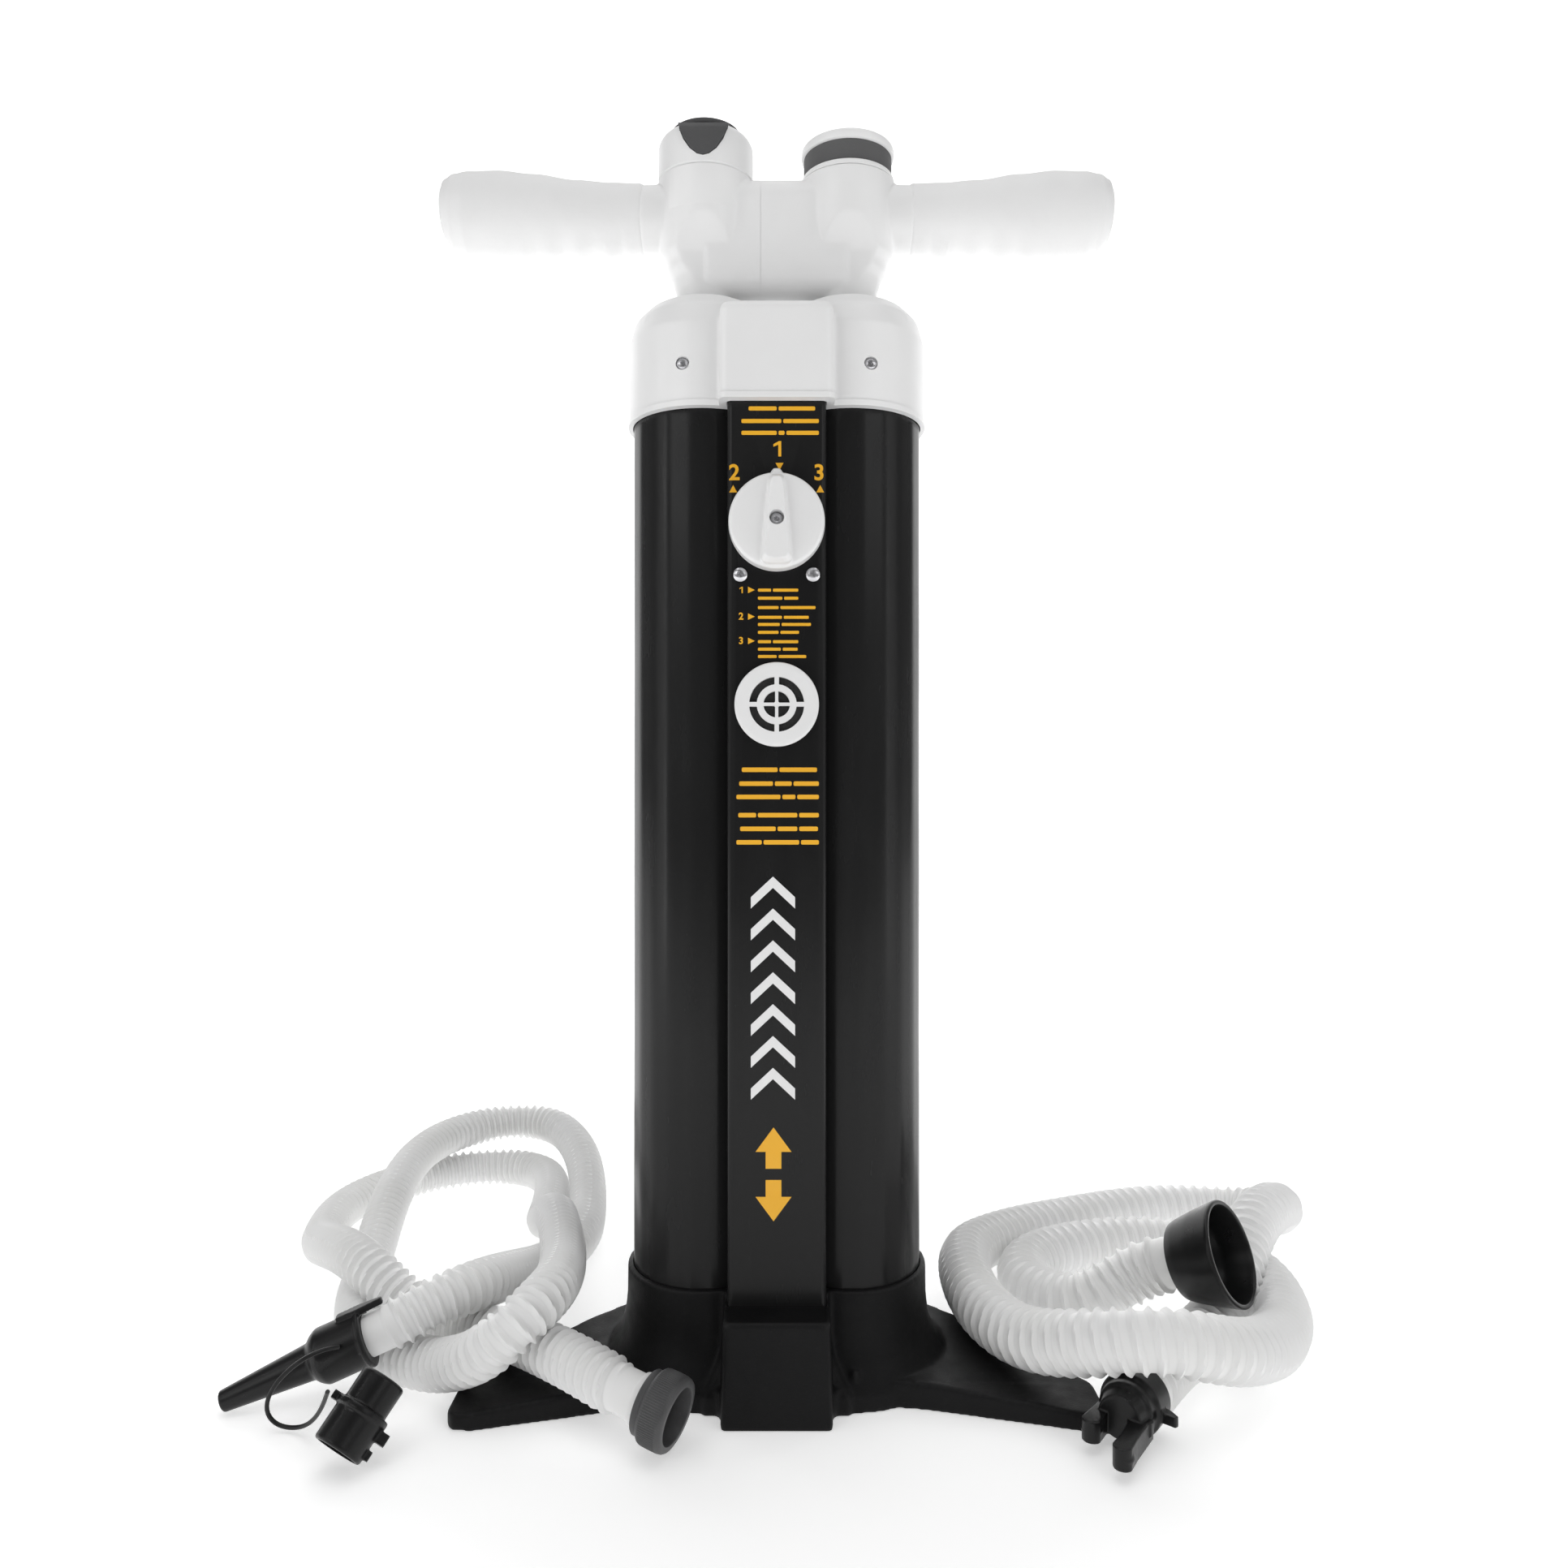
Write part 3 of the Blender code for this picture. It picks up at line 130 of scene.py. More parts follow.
# Print on the panel. A row is (z, height, stops): a dash runs from each stop to just short of the next.
DASH_GAP = 0.001
PRINT_DEPTH = 0.00005
PRINT_ROWS = (
    (0.5347, 0.0022, (-0.015, 0.001, 0.0215)),
    (0.528, 0.0022, (-0.0188, 0.0035, 0.0235)),
    (0.5217, 0.0022, (-0.0188, 0.001, 0.0052, 0.0235)),
    (0.4378, 0.0016, (-0.01, -0.002, 0.0125)),
    (0.4335, 0.0016, (-0.01, 0.004, 0.0125)),
    (0.4285, 0.0016, (-0.01, 0.002, 0.0217)),
    (0.4233, 0.0016, (-0.01, 0.0038, 0.0181)),
    (0.4195, 0.0016, (-0.01, 0.0026, 0.0193)),
    (0.4153, 0.0016, (-0.01, 0.002, 0.0129)),
    (0.4103, 0.0016, (-0.01, -0.002, 0.0125)),
    (0.4063, 0.0016, (-0.01, 0.0032, 0.0122)),
    (0.4024, 0.0016, (-0.01, 0.001, 0.0167)),
    (0.342, 0.0024, (-0.0186, 0.0015, 0.0225)),
    (0.3346, 0.0024, (-0.02, -0.001, 0.009, 0.0235)),
    (0.3275, 0.0024, (-0.0215, 0.003, 0.011, 0.0235)),
    (0.3178, 0.0024, (-0.0205, -0.01, 0.012, 0.0235)),
    (0.3105, 0.0024, (-0.0195, 0.0005, 0.012, 0.023)),
    (0.3033, 0.0024, (-0.0215, -0.007, 0.013, 0.0235)),
)
STEP_ROWS_Z = (0.4379, 0.4237, 0.4107)
STEP_NUMBER_X = -0.019
ARROWS_AT = (-0.0017, 0.1262)
CHEVRONS = 7
CHEVRON_PITCH = 0.017


# Camera


def make_camera():
    data = bpy.data.cameras.new("camera")
    data.sensor_width = 36.0
    data.lens = 26.646
    data.shift_x = 0.00466
    data.shift_y = -0.0031
    data.clip_start = 0.01
    data.clip_end = 50.0
    cam = bpy.data.objects.new("camera", data)
    cam.location = (0.0, -0.675, 0.337)
    cam.rotation_euler = (math.radians(90.0), 0.0, 0.0)
    bpy.context.scene.collection.objects.link(cam)
    bpy.context.scene.camera = cam


# Materials


def link(mat, a, b):
    mat.node_tree.links.new(a, b)


def add_noise(mat, coords, scale, detail=3.0, roughness=0.55):
    node = mat.node_tree.nodes.new("ShaderNodeTexNoise")
    node.inputs["Scale"].default_value = scale
    node.inputs["Detail"].default_value = detail
    node.inputs["Roughness"].default_value = roughness
    link(mat, coords, node.inputs["Vector"])
    return node.outputs["Fac"]


def add_range(mat, value, low, high, start, end):
    node = mat.node_tree.nodes.new("ShaderNodeMapRange")
    for socket, number in zip(("From Min", "From Max", "To Min", "To Max"), (low, high, start, end)):
        node.inputs[socket].default_value = number
    link(mat, value, node.inputs["Value"])
    return node.outputs["Result"]


def add_mix(mat, factor, a, b):
    node = mat.node_tree.nodes.new("ShaderNodeMix")
    node.data_type = "RGBA"
    link(mat, factor, node.inputs["Factor"])
    for socket, colour in ((node.inputs[6], a), (node.inputs[7], b)):
        if isinstance(colour, tuple):
            socket.default_value = (*colour, 1.0)
        else:
            link(mat, colour, socket)
    return node.outputs[2]


def finish_of(name, colour, tint, rough, grain, worn, wear, stretch=(1.0, 1.0, 1.0), painted_shade=0.0, **sockets):
    """A procedural finish. Patches of colour fade into tint, roughness runs over the rough range, grain is
    (scale, height in metres), sharp edges turn towards the worn colour, and painted shade darkens the hollows
    by a share.
    One number for a colour is a grey."""
    colour, tint, worn = ((c, c, c) if isinstance(c, float) else c for c in (colour, tint, worn))
    mat = bpy.data.materials.new(name)
    mat.use_nodes = True
    nodes = mat.node_tree.nodes
    shader = nodes["Principled BSDF"]
    where = nodes.new("ShaderNodeTexCoord")
    mapping = nodes.new("ShaderNodeMapping")
    mapping.inputs["Scale"].default_value = stretch
    link(mat, where.outputs["Object"], mapping.inputs["Vector"])
    coords = mapping.outputs["Vector"]
    patches = add_range(mat, add_noise(mat, coords, 14.0), 0.35, 0.65, 0.0, 1.0)
    base = add_mix(mat, patches, colour, tint)
    specks = add_range(mat, add_noise(mat, coords, grain[0] * 0.5, 4.0, 0.7), 0.62, 0.78, 0.0, 0.25)
    base = add_mix(mat, specks, base, worn)
    shape = nodes.new("ShaderNodeNewGeometry")
    edges = add_range(mat, shape.outputs["Pointiness"], 0.52, 0.6, 0.0, wear)
    base = add_mix(mat, edges, base, worn)
    # Painted shade: low pointiness (hollows, such as the valleys between hose ribs) darkens towards 0.3 of
    # the colour.
    if painted_shade:
        painted_shade_mask = add_range(mat, shape.outputs["Pointiness"], 0.4, 0.497, painted_shade, 0.0)
        base = add_mix(mat, painted_shade_mask, base, tuple(value * 0.3 for value in colour))
    link(mat, base, shader.inputs["Base Color"])
    rubbed = add_noise(mat, coords, 55.0, 4.0, 0.65)
    link(mat, add_range(mat, rubbed, 0.3, 0.7, *rough), shader.inputs["Roughness"])
    bump = nodes.new("ShaderNodeBump")
    bump.inputs["Strength"].default_value = 1.0
    bump.inputs["Distance"].default_value = grain[1]
    link(mat, add_noise(mat, coords, grain[0], 2.0, 0.5), bump.inputs["Height"])
    link(mat, bump.outputs["Normal"], shader.inputs["Normal"])
    for socket, value in sockets.items():
        shader.inputs[socket.replace("_", " ")].default_value = value
    return mat


def make_finishes():
    """All the finishes by name. Where the CAD has a material of that name, Blender has numbered this one."""
    made = (
        finish_of(
            "black_gloss", (0.0035, 0.0035, 0.0038), (0.005, 0.005, 0.0054), (0.17, 0.3), (900.0, 0.00002),
            0.03, 0.4, (1.0, 1.0, 0.25), Specular_IOR_Level=0.16,
        ),
        finish_of(
            "black_matt", (0.005, 0.005, 0.0053), (0.0075, 0.0075, 0.0079), (0.42, 0.6), (1500.0, 0.00012),
            0.05, 0.5, Specular_IOR_Level=0.14,
        ),
        finish_of(
            "fitting_black", (0.0045, 0.0045, 0.0048), (0.0065, 0.0065, 0.0068), (0.26, 0.4),
            (1400.0, 0.00004), 0.05, 0.5, Specular_IOR_Level=0.3,
        ),
        finish_of(
            "white_plastic", 0.84, 0.81, (0.28, 0.42), (1200.0, 0.00003),
            0.8, 0.4,
        ),
        finish_of(
            "grip_white", 0.84, 0.8, (0.4, 0.55), (700.0, 0.0001),
            0.78, 0.4,
        ),
        # The hose gets painted shade in the valleys between its ribs.
        finish_of(
            "hose_white", 0.89, (0.86, 0.86, 0.85), (0.34, 0.5), (600.0, 0.00005),
            0.9, 0.5, painted_shade=0.7,
        ),
        finish_of(
            "grey_rubber", (0.06, 0.06, 0.062), (0.075, 0.075, 0.077), (0.6, 0.8), (1600.0, 0.0001),
            0.16, 0.4,
        ),
        finish_of(
            "inner_grey", (0.3, 0.3, 0.31), (0.25, 0.25, 0.26), (0.35, 0.55), (800.0, 0.00004),
            0.45, 0.4,
        ),
        finish_of(
            "steel", (0.58, 0.58, 0.6), (0.5, 0.5, 0.52), (0.18, 0.34), (1500.0, 0.00002),
            (0.75, 0.75, 0.76), 0.5, (1.0, 1.0, 0.1), Metallic=1.0,
        ),
        finish_of(
            "foam", 0.018, 0.03, (0.85, 1.0), (900.0, 0.0006),
            0.06, 0.4,
        ),
        finish_of(
            "clear_lens", (0.95, 0.97, 0.97), (0.9, 0.93, 0.93), (0.03, 0.08), (300.0, 0.00001),
            1.0, 0.3, Transmission_Weight=1.0, IOR=1.49,
        ),
        finish_of(
            "nut_grey", (0.05, 0.05, 0.052), (0.066, 0.066, 0.068), (0.4, 0.58), (1300.0, 0.00005),
            0.2, 0.6,
        ),
        finish_of(
            "print_yellow", (0.9, 0.45, 0.012), (0.84, 0.4, 0.012), (0.35, 0.5), (1500.0, 0.00001),
            (0.95, 0.55, 0.05), 0.2,
        ),
        finish_of(
            "print_white", 0.86, 0.8, (0.35, 0.5), (1500.0, 0.00001),
            0.8, 0.2,
        ),
        finish_of(
            "print_black", 0.015, 0.022, (0.45, 0.6), (1500.0, 0.00001),
            0.05, 0.2,
        ),
    )
    return {mat.name.split(".")[0]: mat for mat in made}


# Mesh helpers


def loft(rings, closed=False):
    """Joins rings of equal length with quads, and caps the two ends unless the loft is closed on itself."""
    bm = bmesh.new()
    loops = [[bm.verts.new(p) for p in ring] for ring in rings]
    count = len(rings[0])
    pairs = list(zip(loops, loops[1:]))
    if closed:
        pairs.append((loops[-1], loops[0]))
    for low, high in pairs:
        for i in range(count):
            j = (i + 1) % count
            bm.faces.new((low[i], low[j], high[j], high[i]))
    if not closed:
        bm.faces.new(loops[0])
        bm.faces.new(loops[-1])
    return bm


def turned(profile, centre, axis, segments=96, closed=False):
    """Spins a profile of (radius, height) points about an axis through centre; closed joins its two ends."""
    bm = bmesh.new()
    verts = [bm.verts.new((r, 0.0, h)) for r, h in profile]
    pairs = list(zip(verts, verts[1:]))
    if closed:
        pairs.append((verts[-1], verts[0]))
    edges = [bm.edges.new(pair) for pair in pairs]
    spin = {"cent": (0.0, 0.0, 0.0), "axis": (0.0, 0.0, 1.0), "angle": math.tau}
    bmesh.ops.spin(bm, geom=verts + edges, steps=segments, use_merge=True, **spin)
    bmesh.ops.remove_doubles(bm, verts=bm.verts, dist=1e-6)
    turn = UP.rotation_difference(Vector(axis)).to_matrix().to_4x4()
    bm.transform(Matrix.Translation(centre) @ turn)
    return bm


def rod(radius, h0, h1, centre, axis=UP, segments=64):
    return turned([(0.0, h0), (radius, h0), (radius, h1), (0.0, h1)], centre, axis, segments)


def arc(cx, cy, radius, start, end, steps):
    """Points of a round stretch, from one angle to the other, in degrees."""
    points = []
    for i in range(steps + 1):
        a = math.radians(start + (end - start) * i / steps)
        points.append((cx + radius * math.cos(a), cy + radius * math.sin(a)))
    return points


def rounded_box(half_x, half_y, radius, steps=8, centre=(0.0, 0.0)):
    """Outline of a rectangle with round corners, anticlockwise."""
    points = []
    for sx, sy, start in ((1, 1, 0), (-1, 1, 90), (-1, -1, 180), (1, -1, 270)):
        cx = centre[0] + sx * (half_x - radius)
        cy = centre[1] + sy * (half_y - radius)
        points += arc(cx, cy, radius, start, start + 90, steps)
    return points


def ellipse(half_x, half_y, steps=96, centre=(0.0, 0.0)):
    turns = [math.tau * i / steps for i in range(steps)]
    return [(centre[0] + half_x * math.cos(a), centre[1] + half_y * math.sin(a)) for a in turns]


def flat_ring(outline, z):
    return [(x, y, z) for x, y in outline]


def prism(outline, z0, z1):
    return loft([flat_ring(outline, z0), flat_ring(outline, z1)])


def on_front(outline, z, y0, y1):
    """A prism through the front, from an outline in x and height above z."""
    return loft([[(x, y, z + h) for x, h in outline] for y in (y0, y1)])


def rounded(profile, radius, steps=5):
    """The profile with its inner corners rounded; the first and last points stay."""
    points = [profile[0]]
    for before, corner, after in zip(profile, profile[1:], profile[2:]):
        p, q, r = (Vector(v) for v in (before, corner, after))
        reach = min(radius, (p - q).length * 0.45, (r - q).length * 0.45)
        if reach < 1e-6:
            points.append(corner)
            continue
        start = q + (p - q).normalized() * reach
        end = q + (r - q).normalized() * reach
        for i in range(steps + 1):
            t = i / steps
            points.append(tuple(start * (1 - t) ** 2 + q * 2 * t * (1 - t) + end * t * t))
    return points + [profile[-1]]


def body_outline(grow, front=PANEL_Y, half=PANEL_X, corner=0.003, flutes=0.0):
    """Plan of the casing, two lobes with a raised panel front and back, grown outwards by grow."""
    a = LOBE_A + grow
    b = LOBE_B + grow
    x0 = half + grow
    y0 = front + grow
    quarter = arc(x0 - corner, y0 - corner, corner, 90, 0, 8)
    first = math.acos((x0 - BARREL_X) / a)
    steps = 56
    for i in range(steps + 1):
        t = first * (1 - i / steps)
        wave = 1.0 - flutes * (0.5 - 0.5 * math.cos(t * 22.0))
        quarter.append((BARREL_X + a * math.cos(t) * wave, b * math.sin(t) * wave))
    right = quarter + [(x, -y) for x, y in reversed(quarter[:-1])]
    return right + [(-x, -y) for x, y in right]


def add_object(name, bm):
    bmesh.ops.remove_doubles(bm, verts=bm.verts, dist=1e-7)
    bmesh.ops.recalc_face_normals(bm, faces=bm.faces)
    mesh = bpy.data.meshes.new(name)
    bm.to_mesh(mesh)
    bm.free()
    obj = bpy.data.objects.new(name, mesh)
    bpy.context.scene.collection.objects.link(obj)
    shade(obj)
    return obj


def shade(obj, angle=40.0):
    obj.data.shade_smooth()
    obj.data.set_sharp_from_angle(angle=math.radians(angle))


def apply_modifiers(obj):
    graph = bpy.context.evaluated_depsgraph_get()
    made = bpy.data.meshes.new_from_object(obj.evaluated_get(graph))
    obj.modifiers.clear()
    obj.data = made


def cut(obj, tools, operation="DIFFERENCE"):
    """Applies a Boolean of obj with each tool, and removes the tools."""
    made = [add_object("tool", bm) for bm in tools]
    for tool in made:
        mod = obj.modifiers.new("cut", "BOOLEAN")
        mod.operation = operation
        mod.solver = "MANIFOLD"
        mod.object = tool
    apply_modifiers(obj)
    for tool in made:
        bpy.data.objects.remove(tool, do_unlink=True)
    shade(obj)
    return obj


def joined(parts):
    bm = bmesh.new()
    for part in parts:
        bmesh.ops.recalc_face_normals(part, faces=part.faces)
        mesh = bpy.data.meshes.new("part")
        part.to_mesh(mesh)
        part.free()
        bm.from_mesh(mesh)
        bpy.data.meshes.remove(mesh)
    return bm


def moulded(name, parts, voxel, rounds):
    """One moulding: closed parts that overlap are merged, and the joins and edges between them rounded."""
    mesh = bpy.data.meshes.new(name)
    bm = joined(parts)
    bm.to_mesh(mesh)
    bm.free()
    obj = bpy.data.objects.new(name, mesh)
    bpy.context.scene.collection.objects.link(obj)
    remesh = obj.modifiers.new("remesh", "REMESH")
    remesh.mode = "VOXEL"
    remesh.voxel_size = voxel
    soften = obj.modifiers.new("soften", "SMOOTH")
    soften.factor = 0.5
    soften.iterations = rounds
    apply_modifiers(obj)
    shade(obj)
    return obj


def settle(obj, body, mat, *nodes):
    """Gives a finished piece its material, its body, and the CAD nodes that it stands for."""
    obj.data.materials.clear()
    obj.data.materials.append(mat)
    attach(obj, body)
    if nodes:
        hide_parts(*nodes)
    return obj


# Body


def make_casing(finishes):
    rings = [flat_ring(body_outline(0.0, flutes=0.004), z) for z in (SOCKET_FLOOR_Z + 0.0003, CASING_TOP_Z)]
    rings += [flat_ring(body_outline(-WALL), z) for z in (CASING_TOP_Z, SOCKET_FLOOR_Z + 0.0003)]
    casing = add_object("casing_shell", loft(rings, closed=True))
    tools = [rod(radius, -0.006, 0.006, (x, -PANEL_Y, z), FRONT) for radius, x, z in (
        (0.007, 0.0, DIAL_Z), (0.0178, 0.0, VENT_Z), (0.0018, -PANEL_SCREW_X, PANEL_SCREW_Z),
        (0.0018, PANEL_SCREW_X, PANEL_SCREW_Z),
    )]
    cut(casing, tools)
    settle(casing, "pump_body", finishes["black_gloss"], "casing")


def wing(side):
    """A flat wing, swept forward, thicker at its root than at its tip."""
    plan = [(0.028, -0.0715), (0.0292, -0.0665), (0.0325, -0.0615), (0.038, -0.0572), (0.045, -0.0546)]
    plan += [(0.056, -0.0535), (0.068, -0.054), (0.081, -0.056), (0.1575, -0.0758)]
    plan += arc(0.164, -0.0678, 0.008, -70, 0, 8)
    plan += [(0.172, -0.048)]
    plan += arc(0.164, -0.046, 0.008, 10, 48, 4)
    plan += [(0.131, 0.006), (0.11, 0.028), (0.09, 0.044), (0.03, 0.047)]

    def height(x):
        return 0.0145 - 0.006 * min(max((x - 0.08) / 0.092, 0.0), 1.0)

    middle = Vector((0.1, -0.02, 0.0))
    rings = [[(side * x, y, 0.0) for x, y in plan], [(side * x, y, height(x) - 0.001) for x, y in plan]]
    crown = []
    for x, y in plan:
        inward = (middle - Vector((x, y, 0.0))).normalized() * 0.001
        crown.append((side * (x + inward.x), y + inward.y, height(x)))
    return loft(rings + [crown])


def make_base(finishes):
    skirt = ((0.0, 0.015), (0.01, 0.015), (0.013, 0.0132), (0.0165, 0.0108), (0.02, 0.0088), (0.024, 0.0068))
    skirt += ((0.029, 0.0052), (0.035, 0.0041), (0.042, 0.0034), (COLLAR_TOP_Z, 0.0032))
    rings = [flat_ring(body_outline(grow, front=0.047, half=PANEL_X - 0.0015), z) for z, grow in skirt]
    foot = loft([
        flat_ring(rounded_box(FOOT_X + 0.0004, FOOT_Y, 0.003), 0.0),
        flat_ring(rounded_box(FOOT_X - 0.001, FOOT_Y - 0.0006, 0.003), FOOT_TOP_Z - 0.0012),
        flat_ring(rounded_box(FOOT_X - 0.002, FOOT_Y - 0.0016, 0.003), FOOT_TOP_Z),
    ])
    boss = [(0.0, 0.0), (0.003, 0.0), (0.003, 0.0185), (0.0018, 0.0205), (0.0, 0.021)]
    boss = turned(boss, (0.042, -0.0535, 0.0), UP, 24)
    base = moulded("base_moulding", [loft(rings), foot, wing(-1), wing(1), boss], 0.0012, 6)
    socket = prism(body_outline(0.0004), SOCKET_FLOOR_Z, COLLAR_TOP_Z + 0.01)
    cut(base, [socket])
    settle(base, "pump_body", finishes["black_matt"], "base")


def make_cap(finishes):
    dome = (
        (CAP_Z, 0.0), (0.585, 0.0), (0.596, -0.003), (0.603, -0.0095), (0.6065, -0.016), (CAP_TOP_Z, -0.0215),
    )
    parts = []
    for side in (-1, 1):
        at = (side * BARREL_X, 0.0)
        parts.append(loft([
            flat_ring(ellipse(0.0438 + grow, 0.049 + grow * 1.12, 128, at), z) for z, grow in dome
        ]))
        for degrees in (45.0, 77.0):
            for face in (-1, 1):
                a = math.radians(degrees)
                out = Vector((side * math.cos(a), face * math.sin(a), 0.0))
                wide = Vector((-out.y, out.x, 0.0)) * 0.001
                near, far = Vector((*at, 0.0)) + out * 0.022, Vector((*at, 0.0)) + out * 0.0445
                corners = [near + wide, near - wide, far - wide, far + wide]
                parts.append(loft([[c + UP * 0.586 for c in corners], [
                    c + UP * (0.6082 if i < 2 else 0.5935) for i, c in enumerate(corners)
                ]]))
    box = (
        (CAP_Z, 0.0305, 0.062), (0.5875, 0.0303, 0.0616), (0.5902, 0.0292, 0.0604), (0.5915, 0.027, 0.058),
        (0.6, 0.024, 0.03),
    )
    parts.append(loft([flat_ring(rounded_box(x, y, 0.004), z) for z, x, y in box]))
    cap = moulded("cap_moulding", parts, 0.0011, 6)
    lip = []
    for side in (-1, 1):
        at = (side * BARREL_X, 0.0)
        lip.append(prism(ellipse(0.0444, 0.0497, 128, at), CAP_Z, CAP_Z + 0.0034))
    lip.append(prism(rounded_box(0.031, 0.0625, 0.004), CAP_Z, CAP_Z + 0.0034))
    cut(cap, lip, "UNION")
    tools = [
        prism(rounded_box(0.12, 0.12, 0.01), CAP_Z - 0.01, CAP_Z + 0.0002),
        prism(body_outline(0.0004), 0.53, 0.5723),
        prism(body_outline(-0.005), 0.56, 0.5835),
    ]
    for side in (-1, 1):
        tools.append(rod(0.0128, 0.55, 0.62, (side * BARREL_X, 0.0, 0.0)))
        for face in (-1, 1):
            at = (side * CAP_SCREW_X, 0.0, CAP_SCREW_Z)
            tools.append(rod(0.0017, 0.035, 0.06, at, (0, face, 0), 32))
            tools.append(rod(0.0037, 0.0448, 0.06, at, (0, face, 0), 48))
    cut(cap, tools)
    settle(cap, "pump_body", finishes["white_plastic"], "top_cap")


def screw(name, radius, height, tip, axis, body, mat, *nodes):
    """A domed screw head with a cross in it, on a short shank. tip is where the shank starts."""
    tip, axis = Vector(tip), Vector(axis)
    profile = [(0.0, 0.0), (0.0014, 0.0), (0.0014, height), (radius, height), (radius, height + 0.0006)]
    profile += [(radius * 0.86, height + 0.0012), (radius * 0.5, height + 0.0017), (0.0, height + 0.0019)]
    head = add_object(name, turned(profile, tip, axis, 48))
    side = axis.cross(UP).normalized()
    tools = []
    for a, b in ((side, UP), (UP, side)):
        way = (a + b * 0.35).normalized()
        other = axis.cross(way).normalized()
        corners = []
        for i, j in ((1, 1), (-1, 1), (-1, -1), (1, -1)):
            corners.append(way * radius * 0.52 * i + other * radius * 0.11 * j)
        low, high = tip + axis * (height + 0.0008), tip + axis * (height + 0.003)
        tools.append(loft([[low + c * 0.6 for c in corners], [high + c for c in corners]]))
    cut(head, tools)
    return settle(head, body, mat, *nodes)


def make_screws(finishes):
    steel = finishes["steel"]
    for word, side in (("left", -1), ("right", 1)):
        for face, y in (("front", -1), ("rear", 1)):
            tip = (side * CAP_SCREW_X, y * 0.0345, CAP_SCREW_Z)
            name = f"cap_screw_{face}_{word}"
            screw(f"{name}_head", 0.0034, 0.0106, tip, (0, y, 0), "pump_body", steel, name)
        tip = (side * PANEL_SCREW_X, -0.0475, PANEL_SCREW_Z)
        name = f"panel_screw_{word}"
        screw(f"{name}_head", 0.0038, 0.0088, tip, FRONT, "pump_body", steel, name)
    screw("dial_screw_head", 0.0033, 0.001, (0.0, -0.067, DIAL_Z), FRONT, "selector", steel, "dial_screw")


def make_dial(finishes):
    back = Vector((0.0, DIAL_BACK_Y, DIAL_Z))
    profile = [
        (0.0, 0.0), (DIAL_R - 0.0008, 0.0), (DIAL_R, 0.0012), (DIAL_R - 0.0004, 0.0092),
        (DIAL_R - 0.0016, 0.0103), (DIAL_R - 0.006, 0.0108), (0.0, 0.011),
    ]
    bar = []
    for y, half_w, half_h in ((-0.0583, 0.0066, 0.024), (-0.07, 0.0062, 0.0232), (-0.0738, 0.0048, 0.0212)):
        outline = rounded_box(half_w, half_h, 0.0034)
        bar.append([(x * (1 - 0.34 * z / half_h), y, DIAL_Z + z) for x, z in outline])
    pointer = []
    for y, half_w, top in ((-0.0567, 0.0034, 0.0281), (-0.064, 0.0032, 0.0278), (-0.066, 0.002, 0.0266)):
        right = [(half_w, 0.018), (half_w, top - 0.002), (half_w * 0.5, top)]
        outline = right + [(-x, z) for x, z in reversed(right)]
        pointer.append([(x, y, DIAL_Z + z) for x, z in outline])
    plate = turned(rounded(profile, 0.0012), back, FRONT, 128)
    dial = moulded("dial_knob", [plate, loft(bar), loft(pointer)], 0.00045, 4)
    cut(dial, [rod(0.0039, 0.0105, 0.03, back, FRONT)])
    settle(dial, "selector", finishes["white_plastic"], "dial")


def make_vent(finishes):
    back = Vector((0.0, DIAL_BACK_Y, VENT_Z))
    profile = [(0.0, 0.0), (VENT_R, 0.0), (VENT_R, 0.0034), (VENT_R - 0.002, 0.0037), (0.0, 0.0038)]
    grille = add_object("vent_cover", turned(rounded(profile, 0.001), back, FRONT, 128))
    tools = []
    for inner, outer, margin in ((0.0016, 0.007, 0.00085), (0.0106, 0.0146, 0.0012)):
        for quarter in range(4):
            a = math.degrees(math.asin(margin / outer))
            b = math.degrees(math.asin(min(margin / inner, 0.7)))
            start = 90 * quarter
            outline = arc(0.0, 0.0, outer, start + a, start + 90 - a, 16)
            outline += arc(0.0, 0.0, inner, start + 90 - b, start + b, 8)
            tools.append(on_front(outline, VENT_Z, -0.07, -0.05))
    cut(grille, tools)
    settle(grille, "pump_body", finishes["white_plastic"], "vent_grille")


# Plunger


